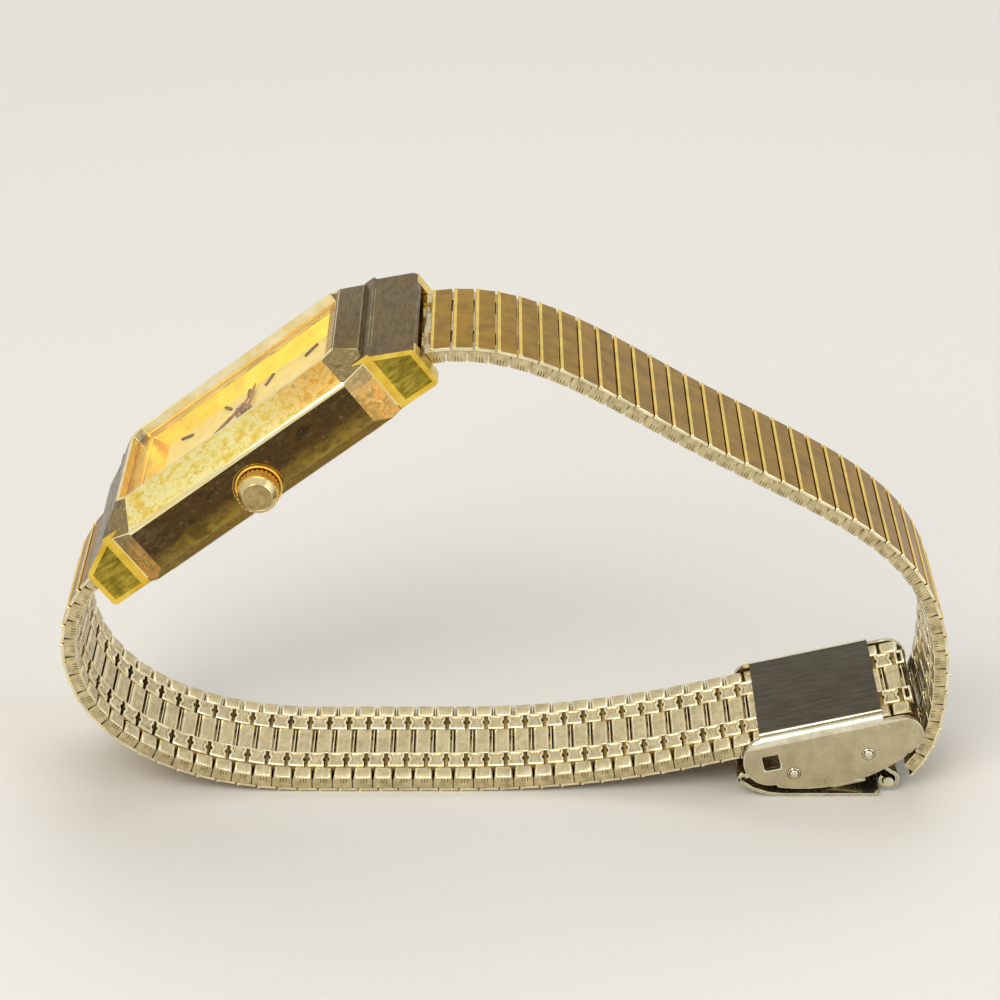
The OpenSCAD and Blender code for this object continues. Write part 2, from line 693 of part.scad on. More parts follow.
module crown() color(gold) at_head() translate([0, crown_y, stem_h]) rotate([90, 0, 0]) {
    difference() {
        union() {
            cylinder(r = crown_d / 2 - 0.25, h = crown_len - 0.3);
            for (i = [1:crown_ribs]) rotate([0, 0, i * 360 / crown_ribs])
                translate([crown_d / 2 - 0.35, -0.13, 0.2]) cube([0.25, 0.26, crown_len - 0.9]);
            translate([0, 0, crown_len - 0.7])
                cylinder(r1 = crown_d / 2 - 0.1, r2 = crown_d / 2 - 0.7, h = 0.7);
        }
        translate([0, 0, -sliver]) cylinder(r = stem_d / 2, h = crown_socket + sliver);
    }
}

module stem() color(steel) at_head() translate([0, crown_y - crown_socket, stem_h])
    rotate([-90, 0, 0]) cylinder(r = stem_d / 2, h = stem_end_y - crown_y + crown_socket);

module crown_gasket() color([0.1, 0.1, 0.1]) at_head()
    translate([0, gasket_in - case_w / 2, stem_h]) rotate([-90, 0, 0]) difference() {
        cylinder(r = tube_r - 0.02, h = gasket_len);
        translate([0, 0, -1]) cylinder(r = stem_d / 2 + 0.02, h = 3);
    }

module spring_bar(side) color(steel) at_head() {
    bar(spring_bar_d / 2, strap_w, [side * bar_x, bar_z]);
    bar(bar_tip_r, lug_span - 2 * (lug_skin + slot_clear), [side * bar_x, bar_z]);
}
module spring_bar_12() spring_bar(1);
module spring_bar_6() spring_bar(-1);

// Clasp frame: a channel over the strap, its side plates rounded at both ends
module at_clasp() translate([clasp_at[0], mid_y, clasp_at[1]]) rotate([0, -rise_angle, 0])
    children();

module side_plate() {
    t = side_out - side_in;
    mid = side_in + t / 2;
    floor_end = floor_x + floor_len;
    translate([0, mid, 0]) difference() {
        intersection() {
            bar(15.6, t, [1.3, 10]);
            union() {
                bar(side_end_r, t, [side_end_x, floor_z + sheet_t - side_end_r]);
                bar(2.1, t, [8.65, -1.45]);
                box(side_end_x, 8.65, -t / 2, t / 2, -8, 0.65);
                box(side_end_x, floor_end, -t / 2, t / 2, -8, floor_z + sheet_t);
            }
        }
        box(-5.4, -3.8, -t, t, -2.3, -0.7);
        for (at = [left_bar, right_bar]) bar(crossbar_d / 2 + 0.02, 2 * t, at);
    }
}

module clasp_frame() color(steel) at_clasp() {
    both_sides() side_plate();
    box(floor_x, floor_x + floor_len, -side_out, side_out, floor_z, floor_z + sheet_t);
}

module clasp_crossbars() color(steel) at_clasp() for (at = [left_bar, right_bar]) {
    bar(crossbar_d / 2, 2 * side_out, at);
    both_sides() translate([at[0], -side_out, at[1]]) rotate([90, 0, 0])
        cylinder(r1 = 0.65, r2 = 0.4, h = 0.25);
}

// A bent strip: a sheet from one point to another, drawn along Y
module strip(from, to, width, t = sheet_t) {
    run = to - from;
    translate([from[0], 0, from[1]]) rotate([0, -atan2(run[1], run[0]), 0])
        box(0, norm(run), -width / 2, width / 2, -t / 2, t / 2);
}

module lock_flap() color(steel) at_clasp() {
    difference() {
        union() {
            bar(bar_eye_r + flap_t, flap_w, left_bar);
            strip(left_bar, flap_knee, flap_w - weld, flap_t);
            bar(flap_t / 2, flap_w, flap_knee);
        }
        bar(bar_eye_r, flap_w + 1, left_bar);
    }
    strip(flap_knee, flap_lip, flap_w - weld, flap_t);
}

module clasp_hook() color(steel) at_clasp() {
    turn = hook_turn;
    reach = hook_turn_r - sheet_t / 2;
    knuckle_y = lid_knuckle_w / 2 + 0.3;
    difference() {
        union() {
            bar(bar_eye_r + sheet_t, hook_w, right_bar);
            strip(right_bar + [0.4, -0.8], turn + [0.1, reach], hook_w - weld);
            difference() {
                bar(hook_turn_r, hook_w, turn);
                bar(hook_turn_r - sheet_t, hook_w + 1, turn);
                box(turn[0] + 0.1, turn[0] + 3, -hook_w, hook_w, turn[1] - 3, turn[1] + 3);
            }
            strip(turn - [0.1, reach], lid_pin_at + [0.85, 0.1], hook_w - weld);
            bar(curl_r, hook_w, lid_pin_at);
        }
        bar(bar_eye_r, hook_w + 1, right_bar);
        bar(lid_eye_r, hook_w + 1, lid_pin_at);
        box(lid_pin_at[0] - 2, lid_pin_at[0] + 3, -knuckle_y, knuckle_y, lid_pin_at[1] - 2,
            lid_pin_at[1] + curl_r + 0.15);
    }
}

module lid_pin() color(steel) at_clasp() bar(lid_pin_d / 2, 2 * side_in, lid_pin_at);

// The lid lies level on the surface below, turned up to a curled lip at its free end
module clasp_lid() color(steel) {
    hinge = clasp_point(lid_pin_at);
    width = 2 * side_out;
    flat_x = -0.85;
    arc_x = flat_x - lid_flat;
    low = lid_low - hinge[1];
    translate([hinge[0], mid_y, hinge[1]]) {
        difference() {
            union() {
                box(arc_x, flat_x, -width / 2, width / 2, low, low + sheet_t);
                bar(curl_r, lid_knuckle_w, [0, 0]);
                box(flat_x - 0.4, 0, -lid_knuckle_w / 2, lid_knuckle_w / 2, low, -0.4);
            }
            bar(lid_eye_r, lid_knuckle_w + 1, [0, 0]);
        }
        translate([arc_x, 0, low + lid_curve_r]) {
            difference() {
                bar(lid_curve_r, width, [0, 0]);
                bar(lid_curve_r - sheet_t, width + 1, [0, 0]);
                box(0, 9, -width, width, -9, 9);
                rotate([0, -lid_lift, 0]) box(-9, 9, -width, width, 0, 9);
            }
            rotate([0, -lid_lift, 0])
                bar(sheet_t * 0.7, width - weld, [sheet_t / 2 - lid_curve_r, 0]);
        }
    }
}

case_body();
crystal();
crystal_gasket();
dial_surround();
dial();
hour_markers();
hour_hand();
minute_hand();
hour_wheel();
cannon_pinion();
centre_wheel();
minute_wheel();
third_wheel();
rotor();
stator();
coil();
movement_plate();
train_bridge();
circuit_board();
battery();
battery_clip();
movement_holder();
case_back();
back_gasket();
crown();
stem();
crown_gasket();
spring_bar_12();
spring_bar_6();
clasp_frame();
clasp_crossbars();
lock_flap();
clasp_hook();
clasp_lid();
lid_pin();
run_12(1);  // run_12_1
run_12(2);  // run_12_2
run_12(3);  // run_12_3
run_12(4);  // run_12_4
run_12(5);  // run_12_5
run_12(6);  // run_12_6
run_12(7);  // run_12_7
run_12(8);  // run_12_8
run_6(1);  // run_6_1
run_6(2);  // run_6_2
run_6(3);  // run_6_3
run_6(4);  // run_6_4
run_6(5);  // run_6_5
run_6(6);  // run_6_6
run_6(7);  // run_6_7
run_6(8);  // run_6_8
run_6(9);  // run_6_9
run_6(10);  // run_6_10
run_6(11);  // run_6_11
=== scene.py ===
"""A rectangular watch on a strap of hinged links: its visible pieces, their finishes and a studio."""

import math

import bmesh
import bpy
from mathutils import Matrix, Vector


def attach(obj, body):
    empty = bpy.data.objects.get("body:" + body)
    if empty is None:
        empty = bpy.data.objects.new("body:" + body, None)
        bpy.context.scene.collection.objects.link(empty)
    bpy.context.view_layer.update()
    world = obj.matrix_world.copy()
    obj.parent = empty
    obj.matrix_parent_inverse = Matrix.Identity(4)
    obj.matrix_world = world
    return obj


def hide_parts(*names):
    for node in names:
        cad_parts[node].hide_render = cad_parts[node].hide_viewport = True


bl_info = {
    "name": "Rectangular Link-Strap Watch",
    "version": (1, 0, 0),
    "blender": (4, 5, 0),
    "location": "3D View > Sidebar > Watch",
    "description": "Builds the case, dial, crown, link strap and clasp of a rectangular watch",
    "category": "Add Mesh",
}

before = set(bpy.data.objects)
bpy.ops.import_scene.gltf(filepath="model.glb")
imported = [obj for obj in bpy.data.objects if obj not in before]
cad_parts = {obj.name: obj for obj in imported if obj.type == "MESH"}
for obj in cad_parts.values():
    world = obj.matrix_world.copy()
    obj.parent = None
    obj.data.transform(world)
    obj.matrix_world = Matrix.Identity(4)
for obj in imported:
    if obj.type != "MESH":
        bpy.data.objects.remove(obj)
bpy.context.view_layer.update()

MM = 0.001

# Places that the pieces share with the solids, in millimetres and degrees
MID_Y = 1.275
HEAD_AT = (-21.7, 34.0)
HEAD_TILT = 37.0
CASE_W = 21.5
STEM_H = 2.5
CROWN_Y = -10.7
BAR_X, BAR_Z = 18.0, 2.9
STRAP_HALF = 7.0
PITCH = 2.0
BODY_OUT = 0.55
BODY_IN = 0.65
STRAP_OUT = 0.95
FLAT_START = -19.2
FLAT_END = -4.6
RISE_R = 102.0
RISE_STEPS = 12
LINKS_12, RUNS_12 = 39, 8
LINKS_6, RUNS_6 = 51, 11
TAIL_RUN = 10
# The clasp's lean and half width, and in its own frame where the strands end, the two bars, the
# hook's turn and the lid's pin; the pin's height is over the surface that the watch stands on
CLASP_TILT = 13.5
CLASP_HALF = 8.0
END_12 = (8.1, -6.35)
END_6 = 10.6
LEFT_BAR = (-2.65, -3.2)
RIGHT_BAR = (4.95, -2.7)
HOOK_TURN = (7.2, -4.9)
LID_PIN = (6.3, -6.73)
LID_PIN_Z = 1.4


def linear(colour):
    """An sRGB hex colour as linear red, green, blue and alpha; a user's colour is linear already."""
    if not isinstance(colour, str):
        return tuple(colour)
    parts = [int(colour[i : i + 2], 16) / 255 for i in (1, 3, 5)]
    return tuple(p / 12.92 if p <= 0.04045 else ((p + 0.055) / 1.055) ** 2.4 for p in parts) + (1.0,)


# Routes of the two strands, as the link pins' places in X and Z


def heading(degrees):
    return Vector((math.cos(math.radians(degrees)), math.sin(math.radians(degrees))))


def head_point(x, z):
    return Vector(HEAD_AT) + x * heading(HEAD_TILT) + z * heading(HEAD_TILT + 90)


def bend(start, start_dir, start_pull, end, end_dir, end_pull, steps=40):
    """Points of a smooth bend from one place and direction to another."""
    span = (end - start).length
    a, b = start, start + start_pull * span * heading(start_dir)
    c, d = end - end_pull * span * heading(end_dir), end
    points = []
    for i in range(1, steps + 1):
        t = i / steps
        u = 1 - t
        points.append(u**3 * a + 3 * u * u * t * b + 3 * u * t * t * c + t**3 * d)
    return points


def spread(route, count):
    """Places at even lengths along a route."""
    lengths = [0.0]
    for a, b in zip(route, route[1:]):
        lengths.append(lengths[-1] + (b - a).length)
    places = []
    k = 0
    for i in range(count + 1):
        want = lengths[-1] * i / count
        while k < len(route) - 2 and lengths[k + 1] < want:
            k += 1
        share = (want - lengths[k]) / (lengths[k + 1] - lengths[k])
        places.append(route[k].lerp(route[k + 1], min(share, 1.0)))
    return places


def rise_point(angle):
    """A place on the slight rise of the lower strand, from the flat part to the clasp."""
    return Vector((FLAT_END, STRAP_OUT)) + RISE_R * Vector((math.sin(angle), 1 - math.cos(angle)))


BAR_12 = head_point(BAR_X, BAR_Z)
BAR_6 = head_point(-BAR_X, BAR_Z)
RISE_RAD = math.radians(CLASP_TILT)
RISE_END = rise_point(RISE_RAD)
CLASP_ALONG = (
    LID_PIN_Z - RISE_END[1] - LID_PIN[0] * math.sin(RISE_RAD) - LID_PIN[1] * math.cos(RISE_RAD)
) / math.sin(RISE_RAD)
CLASP_AT = RISE_END + CLASP_ALONG * heading(CLASP_TILT)


def clasp_point(x, z):
    return CLASP_AT + x * heading(CLASP_TILT) + z * heading(CLASP_TILT + 90)


def strand_12():
    """Pins of the strand that arches over from the head to the clasp's hook."""
    end = clasp_point(*END_12)
    side = end + Vector((2.8, 9.4))
    slope = Vector((16.4, 39.2))
    route = [BAR_12]
    route += bend(BAR_12, 16, 0.36, slope, -30, 0.36)
    route += bend(slope, -30, 0.5, side, -91, 0.42)
    route += bend(side, -91, 0.35, end, -130, 0.35)
    return spread(route, LINKS_12)


def strand_6():
    """Pins of the strand that turns under the head, lies flat and runs through the clasp."""
    side = BAR_6 + Vector((-4.8, -10.4))
    route = [BAR_6]
    route += bend(BAR_6, -145, 0.36, side, -84, 0.36)
    route += bend(side, -84, 0.33, Vector((FLAT_START, STRAP_OUT)), 0, 0.47)
    flat = math.floor(FLAT_END - FLAT_START)
    route += [Vector((FLAT_START + i, STRAP_OUT)) for i in range(1, flat + 1)]
    route += [rise_point(RISE_RAD * i / RISE_STEPS) for i in range(1, RISE_STEPS + 1)]
    route.append(clasp_point(END_6, 0))
    return spread(route, LINKS_6)


def placed(x, z, tilt):
    """Matrix from millimetres in a frame at X and Z in the strap's middle plane, leaning by tilt."""
    move = Matrix.Translation((x * MM, MID_Y * MM, z * MM))
    return move @ Matrix.Rotation(-math.radians(tilt), 4, "Y") @ Matrix.Scale(MM, 4)


HEAD = placed(*HEAD_AT, HEAD_TILT)
CLASP = placed(*CLASP_AT, CLASP_TILT)
WORLD_MM = Matrix.Scale(MM, 4)
# Turns a shape made along Z so that it points to the crown's side
TO_CROWN = Matrix.Rotation(math.radians(90), 4, "X")


# What a user would change


def length(name, description, default, least):
    return bpy.props.FloatProperty(
        name=name, description=description, default=default, min=least, unit="LENGTH"
    )


def number(name, description, default, least, most):
    return bpy.props.IntProperty(
        name=name, description=description, default=default, min=least, max=most
    )


def hue(name, description, code):
    return bpy.props.FloatVectorProperty(
        name=name,
        description=description,
        default=linear(code),
        size=4,
        subtype="COLOR",
        min=0,
        max=1,
    )


class WatchCaseSizes(bpy.types.PropertyGroup):
    """Sizes of the case and crown."""

    edge: length(
        "Edge Softness", "Width of the worn edge between two faces of the case", 0.00014, 0.00002
    )
    long_edge: length(
        "Long Edge", "Rounding of the edges between the bevel and the side walls", 0.00028, 0.00002
    )
    lug_round: length("Lug Rounding", "Rounding of the outer ends of the lugs", 0.00045, 0.0001)
    knurls: number("Crown Flutes", "Number of flutes round the crown", 28, 12, 48)
    glass_edge: length(
        "Crystal Chamfer", "Width of the polished chamfer round the crystal", 0.00025, 0.00002
    )


class WatchStrapSizes(bpy.types.PropertyGroup):
    """Sizes of a link's caps and folds."""

    rib: length(
        "Rib Width", "Width of the polished rib along one edge of a link's cap", 0.00032, 0.0001
    )
    rib_rise: length(
        "Rib Rise", "How far the rib stands above the satin flat of the cap", 0.00009, 0.00001
    )
    folds: number("Edge Folds", "Folds of sheet that show on the side of a link", 3, 1, 4)


class WatchClaspSizes(bpy.types.PropertyGroup):
    """Sizes of the clasp's sheet parts."""

    bend_r: length(
        "Bend Radius", "Outer radius of the bend from the floor plate to a side", 0.0011, 0.0001
    )
    sheet: length(
        "Strip Thickness", "Thickness of the sheet of the hook and the lid", 0.0004, 0.0001
    )
    # The rim is painted in the polished colour as a painted highlight
    rim: length("Rim", "Width of the bright rounded rim of the side plates", 0.00012, 0.00002)


class WatchFinishes(bpy.types.PropertyGroup):
    """Colours of the main finishes."""

    # This colour is the bright gold round the crystal and on the top flats, and a painted highlight on
    # the case's rounded edges
    edge: hue("Edge Highlight", "Colour of the plate where its edges are rubbed bright", "#F4DE90")
    cap: hue("Strap Cap", "Colour of the satin flats of the links' caps", "#8E6A0E")
    link: hue("Link Steel", "Colour of the folded steel of the links", "#BAAA80")
    clasp: hue("Clasp Steel", "Colour of the satin side plates of the clasp", "#C0B594")
    dial: hue("Dial", "Colour of the dial's lacquer", "#FDE894")


# Nodes and finishes

# Places of a colour mix's inputs, its share and its two colours, and of its output
MIX_SHARE, MIX_A, MIX_B, MIX_OUT = 0, 6, 7, 2


def add_node(tree, kind, inputs=None, out=0, stops=(), **settings):
    """Adds a shader node with its settings, links and ramp stops, and gives back one of its outputs."""
    made = tree.nodes.new("ShaderNode" + kind)
    for name, value in settings.items():
        setattr(made, name, value)
    for name, value in (inputs or {}).items():
        if isinstance(value, bpy.types.NodeSocket):
            tree.links.new(value, made.inputs[name])
        else:
            made.inputs[name].default_value = value
    for i, (position, colour) in enumerate(stops):
        ramp = made.color_ramp.elements
        stop = ramp[i] if i < 2 else ramp.new(position)
        stop.position = position
        stop.color = colour
    return made.outputs[out]


def new_finish(name, metallic, roughness, ior=None):
    """A material with one principled shader, and its node tree."""
    material = bpy.data.materials.new(name)
    material.use_nodes = True
    shader = material.node_tree.nodes["Principled BSDF"]
    shader.inputs["Metallic"].default_value = metallic
    shader.inputs["Roughness"].default_value = roughness
    if ior:
        shader.inputs["IOR"].default_value = ior
    FINISHES[name] = material
    return material.node_tree, shader


def in_frame(tree, own):
    """The place on a piece, in millimetres of its own frame."""
    back = own.inverted()
    at = add_node(tree, "TexCoord", out="Object")
    move = {"Location": back.to_translation(), "Rotation": back.to_euler(), "Scale": back.to_scale()}
    return add_node(tree, "Mapping", {"Vector": at, **move})


def join_up(tree, shader, sockets):
    for name, value in sockets.items():
        tree.links.new(value, shader.inputs[name])


def surfaced(tree, shader, colour, pattern, low, high, height, depth):
    """Gives a shader a colour, a roughness that follows a pattern, and bumps of a depth in mm."""
    levels = {"Value": pattern, "From Min": 0.3, "From Max": 0.7, "To Min": low, "To Max": high}
    duller = add_node(tree, "MapRange", levels)
    uneven = add_node(tree, "Bump", {"Height": height, "Distance": depth * MM, "Strength": 0.5})
    join_up(tree, shader, {"Base Color": colour, "Roughness": duller, "Normal": uneven})


def grained(
    name, dark, light, grain, rough, own=WORLD_MM, metallic=1.0, ior=None, bump=0.005, stain=0.3
):
    """A solid with a fine grain and a soft stain. Grain is its features a millimetre along X, Y and
    Z of the piece's own frame; with no frame the grain follows the links by their own map."""
    tree, shader = new_finish(name, metallic, rough[0], ior)
    at = add_node(tree, "UVMap", uv_map="links") if own is None else in_frame(tree, own)
    fine = add_node(tree, "VectorMath", {0: at, 1: grain}, operation="MULTIPLY")
    look = {"Vector": fine, "Scale": 1.0, "Detail": 3.0, "Roughness": 0.6}
    lines = add_node(tree, "TexNoise", look)
    look = {"Vector": at, "Scale": 0.45, "Detail": 4.0, "Roughness": 0.6}
    cloud = add_node(tree, "TexNoise", look)
    share = add_node(tree, "MapRange", {"Value": lines, "From Min": 0.32, "From Max": 0.68})
    hues = {MIX_SHARE: share, MIX_A: linear(dark), MIX_B: linear(light)}
    colour = add_node(tree, "Mix", hues, MIX_OUT, data_type="RGBA")
    levels = {"Value": cloud, "From Min": 0.42, "From Max": 0.7, "To Max": stain}
    share = add_node(tree, "MapRange", levels)
    hues = {MIX_SHARE: share, MIX_A: colour, MIX_B: linear(STAIN)}
    colour = add_node(tree, "Mix", hues, MIX_OUT, data_type="RGBA", blend_type="MULTIPLY")
    surfaced(tree, shader, colour, lines, rough[1], rough[0], lines, bump)
    return shader


def worn_plate(name, first, second, axis, start, end, speck, rough, patch):
    """Polished gold plate worn in patches. Its colours turn from the first set to the second between
    two places along an axis of the head; patch is its features a millimetre."""
    tree, shader = new_finish(name, 1.0, rough[0])
    at = in_frame(tree, HEAD)
    scaled = add_node(tree, "VectorMath", {0: at, 1: patch}, operation="MULTIPLY")
    look = {"Vector": scaled, "Scale": 1.0, "Detail": 6.0, "Roughness": 0.66}
    patches = add_node(tree, "TexNoise", look)
    look = {"Vector": at, "Scale": 2.4, "Detail": 3.0, "Roughness": 0.6}
    specks = add_node(tree, "TexNoise", look)
    # The turn is ragged: the patches move it by up to 0.8 of its length either way
    place = add_node(tree, "SeparateXYZ", {"Vector": at}, axis)
    span = end - start
    ragged = add_node(tree, "Math", {0: patches, 1: span * 1.6, 2: place}, operation="MULTIPLY_ADD")
    levels = {"Value": ragged, "From Min": start + span * 0.8, "From Max": end + span * 0.8}
    hues = {MIX_SHARE: add_node(tree, "MapRange", levels)}
    for socket, codes in ((MIX_A, first), (MIX_B, second)):
        stops = tuple(zip(STOPS, map(linear, codes)))
        hues[socket] = add_node(tree, "ValToRGB", {"Fac": patches}, stops=stops)
    colour = add_node(tree, "Mix", hues, MIX_OUT, data_type="RGBA")
    levels = {"Value": specks, "From Min": 0.6, "From Max": 0.7, "To Max": 0.7}
    share = add_node(tree, "MapRange", levels)
    hues = {MIX_SHARE: share, MIX_A: colour, MIX_B: linear(speck)}
    colour = add_node(tree, "Mix", hues, MIX_OUT, data_type="RGBA")
    surfaced(tree, shader, colour, patches, *rough, specks, 0.008)


def wound_wire(name, dark, light):
    """Enamelled copper wire, wound: ridges 0.12 mm apart, coarser than the wire so that they show."""
    tree, shader = new_finish(name, 1.0, 0.28)
    place = add_node(tree, "SeparateXYZ", {"Vector": in_frame(tree, HEAD)}, "Y")
    turns = add_node(tree, "Math", {0: place, 1: math.tau / WIRE_PITCH}, operation="MULTIPLY")
    wave = add_node(tree, "Math", {0: turns}, operation="SINE")
    # The wave paints the troughs between turns dark as painted shade and the crests light as a painted
    # sheen
    share = add_node(tree, "MapRange", {"Value": wave, "From Min": -1.0})
    hues = {MIX_SHARE: share, MIX_A: linear(dark), MIX_B: linear(light)}
    colour = add_node(tree, "Mix", hues, MIX_OUT, data_type="RGBA")
    uneven = add_node(tree, "Bump", {"Height": wave, "Distance": 0.03 * MM, "Strength": 0.6})
    join_up(tree, shader, {"Base Color": colour, "Normal": uneven})


FINISHES = {}
# Grime that stains every finish, the noise levels of a plate's four colours, and the coil's ridges
STAIN = "#8F8263"
STOPS = (0.36, 0.46, 0.55, 0.66)
WIRE_PITCH = 0.12083
# Features a millimetre: rubbed or plain metal, turned metal, and moulded or lacquered stuff
BARE = (0.4, 0.4, 0.4)
TURNED = (2.0, 2.0, 2.0)
SOLID = {"grain": (2.0, 2.0, 2.0), "metallic": 0.0}


def make_finishes(hues):
    """Makes every finish once, from the scene's colours. The brushing and scratches of the metals are
    finer in the real watch, and are drawn as coarse as they need to be to show."""
    # Gold plate over brass, polished then worn: pale and mottled, orange towards 12 o'clock
    worn_plate(
        "worn_gold_plate",
        ("#F4CE5E", "#FAE078", "#FFF6B2", "#F5D66E"),
        ("#CC8E38", "#E8AE4C", "#F2CE78", "#CCA458"),
        "X",
        2.0,
        11.0,
        "#CFA64A",
        (0.2, 0.32),
        (0.8, 1.0, 1.0),
    )
    # Corner facets: plate gone grey-brown above, copper-coloured where it is rubbed through below
    worn_plate(
        "tarnished_corner_plate",
        ("#B0763A", "#CC9C4C", "#9C7840", "#D8B45C"),
        ("#7D6A48", "#A08C60", "#8A7650", "#BCA878"),
        "Z",
        3.4,
        5.4,
        "#C9BE98",
        (0.2, 0.34),
        (0.42, 0.6, 0.6),
    )
    # Side walls: plate tarnished dark olive and brown, speckled gold again along the lower edge
    worn_plate(
        "tarnished_flank_plate",
        ("#6E5A26", "#A98C3C", "#8C7438", "#C4A650"),
        ("#3D3020", "#584426", "#4A3B24", "#6A583A"),
        "Z",
        1.1,
        3.2,
        "#7D7050",
        (0.14, 0.26),
        (0.2, 0.3, 0.45),
    )
    # End hoods: brushed plate gone dark warm grey, fine random scratches
    grained("scratched_dark_hood", "#5A4820", "#7E6634", (3.0, 0.7, 3.0), (0.24, 0.36), HEAD)
    # Ridge and rims of the hoods, dull olive gold
    grained("dull_gold_ridge", "#7D7048", "#A3935C", (1.5, 0.6, 1.5), (0.2, 0.3), HEAD)
    # Lugs: bright yellow plate round panels that are scratched and dirty
    grained("lug_gold_plate", "#E4BA35", "#F6DB66", BARE, (0.18, 0.28), HEAD)
    scratches = (0.9, 0.9, 2.6)
    grained(
        "dirty_lug_panel", "#7C7128", "#BFA844", scratches, (0.3, 0.5), HEAD, bump=0.015, stain=0.5
    )
    # Bright gold of the walls round the crystal and of the top flats, and a painted highlight on the
    # rounded edges
    grained("gold_rim_and_edge_highlight", hues.edge, "#FFF4CC", BARE, (0.14, 0.22), stain=0.1)
    # Satin gilt of the crystal's surround and of the ring under the crystal
    grained("gilt_surround", "#F4BC24", "#FFDA50", (0.4, 0.4, 2.0), (0.24, 0.36), HEAD)
    # Cream lacquer over brass
    cream = {"metallic": 0.0, "ior": 1.5, "bump": 0.003, "stain": 0.1}
    grained("cream_dial_lacquer", "#F4D878", hues.dial, (0.8, 0.8, 0.8), (0.4, 0.46), HEAD, **cream)
    # Gilt batons and hands, gone brown
    grained("brown_gilt", "#5F4C26", "#7D6A38", TURNED, (0.28, 0.36))
    grained("hand_gilt", "#8A5A26", "#B5803F", TURNED, (0.26, 0.34))
    # Mineral glass of the crystal, a few faint scratches along it
    glass = {"metallic": 0.0, "ior": 1.5, "bump": 0.0, "stain": 0.0}
    shader = grained(
        "clear_crystal", "#F4F4EC", "#FFFFFA", (0.4, 6.0, 1.0), (0.02, 0.08), HEAD, **glass
    )
    shader.inputs["Alpha"].default_value = 0.05
    shader.inputs["Specular IOR Level"].default_value = 0.4
    # Gold plated crown: flutes bright, face dull from the thumb, a pale painted highlight on the
    # chamfer of its rim
    grained("crown_gold", "#FFC84C", "#FFE684", (0.9, 0.9, 0.9), (0.45, 0.55))
    grained("crown_face_gold", "#A89260", "#C6B27E", (1.4, 1.4, 1.4), (0.34, 0.46))
    grained("crown_rim_highlight", "#E6D192", "#F8EBBB", BARE, (0.16, 0.26))
    # Strap caps: satin gold brushed along the strap, polished ribs
    grained("satin_gold_cap", hues.cap, "#B88E18", (0.4, 14.0, 1.0), (0.26, 0.4), None, stain=0.5)
    grained("polished_gold_rib", "#FFCE4C", "#FFE478", (0.2, 1.0, 1.0), (0.12, 0.2), None)
    # Folded stainless sheet of the links, warm from skin oil; a lighter copy paints highlights on
    # rounded rims, and a dark one paints shade in the fold grooves, under the caps and in the slots
    grained("folded_link_steel", hues.link, "#E2D2A8", (1.6, 1.1, 1.0), (0.22, 0.36), None, bump=0.01)
    grained("fold_steel_and_highlight", "#E6D8AC", "#FFF6D2", (0.8, 0.8, 1.0), (0.16, 0.26), None)
    grained("link_crevice_shade", "#54462A", "#78684A", (1.5, 1.5, 1.0), (0.5, 0.7), None)
    # Stainless clasp: dark brushed floor plate, satin side plates, polished small parts whose colour
    # also paints highlights on the bends and rims, and painted shade round the rivets
    grained("dark_clasp_floor", "#403A2E", "#5E5747", (0.3, 6.0, 6.0), (0.26, 0.4), CLASP)
    grained("satin_clasp_steel", hues.clasp, "#D6CBA8", (3.0, 3.0, 9.0), (0.26, 0.38), CLASP)
    grained("clasp_polish_and_highlight", "#D8D0B4", "#FBF5DC", BARE, (0.14, 0.24), CLASP)
    grained("clasp_sheet_steel", "#B9AF94", "#E3DBC2", TURNED, (0.2, 0.34))
    grained("clasp_groove_shade", "#4A4436", "#665E4C", BARE, (0.4, 0.5), CLASP)
    # Movement: turned steel and brass, the cell's nickelled can, magnet alloy and copper wire
    grained("turned_steel", "#A9A69C", "#C9C7C0", TURNED, (0.22, 0.32))
    grained("brass_wheel", "#C49E48", "#DDBB66", (2.5, 2.5, 2.5), (0.22, 0.32))
    grained("cell_steel", "#B9B9B4", "#D2D2CE", (1.2, 1.2, 1.2), (0.18, 0.28))
    grained("magnet_alloy", "#47474A", "#5B5B5E", (3.0, 3.0, 3.0), (0.4, 0.5))
    wound_wire("wound_copper_wire", "#7A3616", "#C9733A")
    # Lacquered board, a holder moulded in pale acetal, and rubber gaskets
    grained("board_lacquer", "#24583A", "#2F6B48", rough=(0.35, 0.42), ior=1.5, **SOLID)
    grained("moulded_holder", "#D4D1C7", "#E2E0D8", rough=(0.5, 0.58), ior=1.49, **SOLID)
    grained("gasket_rubber", "#232220", "#302E2B", rough=(0.65, 0.72), ior=1.52, **SOLID)
    # Brushed stainless case back
    grained("brushed_back_steel", "#A5A197", "#CBC8BF", (0.4, 7.0, 7.0), (0.24, 0.38), HEAD)
    # The stage's floor: plain pale paper with a grain too fine to see
    paper = {"rough": (0.7, 0.75), "ior": 1.45, "bump": 0.0, "stain": 0.0}
    grained("pale_matt_paper", "#E4E2DD", "#E6E4DF", **paper, **SOLID)


# Mesh helpers; shapes are drawn in millimetres in a piece's own frame, then placed

# A face belongs to a flat that keeps its own shading if it has more corners than this, and two
# faces are shaded as one surface below this angle
FLAT_CORNERS = 5
SHARP = 32.0
# Edges that end closer to another corner than this can't be rounded
TINY_STEP = 0.2


def middle(face):
    return face.calc_center_median()


def faces_of(verts):
    return {f for v in verts for f in v.link_faces}


def paint(faces, finish):
    for face in faces:
        face.material_index = finish


def moved_out(bm, faces, by):
    """Draws faces out by a vector."""
    made = bmesh.ops.extrude_face_region(bm, geom=faces)["geom"]
    verts = [g for g in made if isinstance(g, bmesh.types.BMVert)]
    bmesh.ops.translate(bm, vec=by, verts=verts)


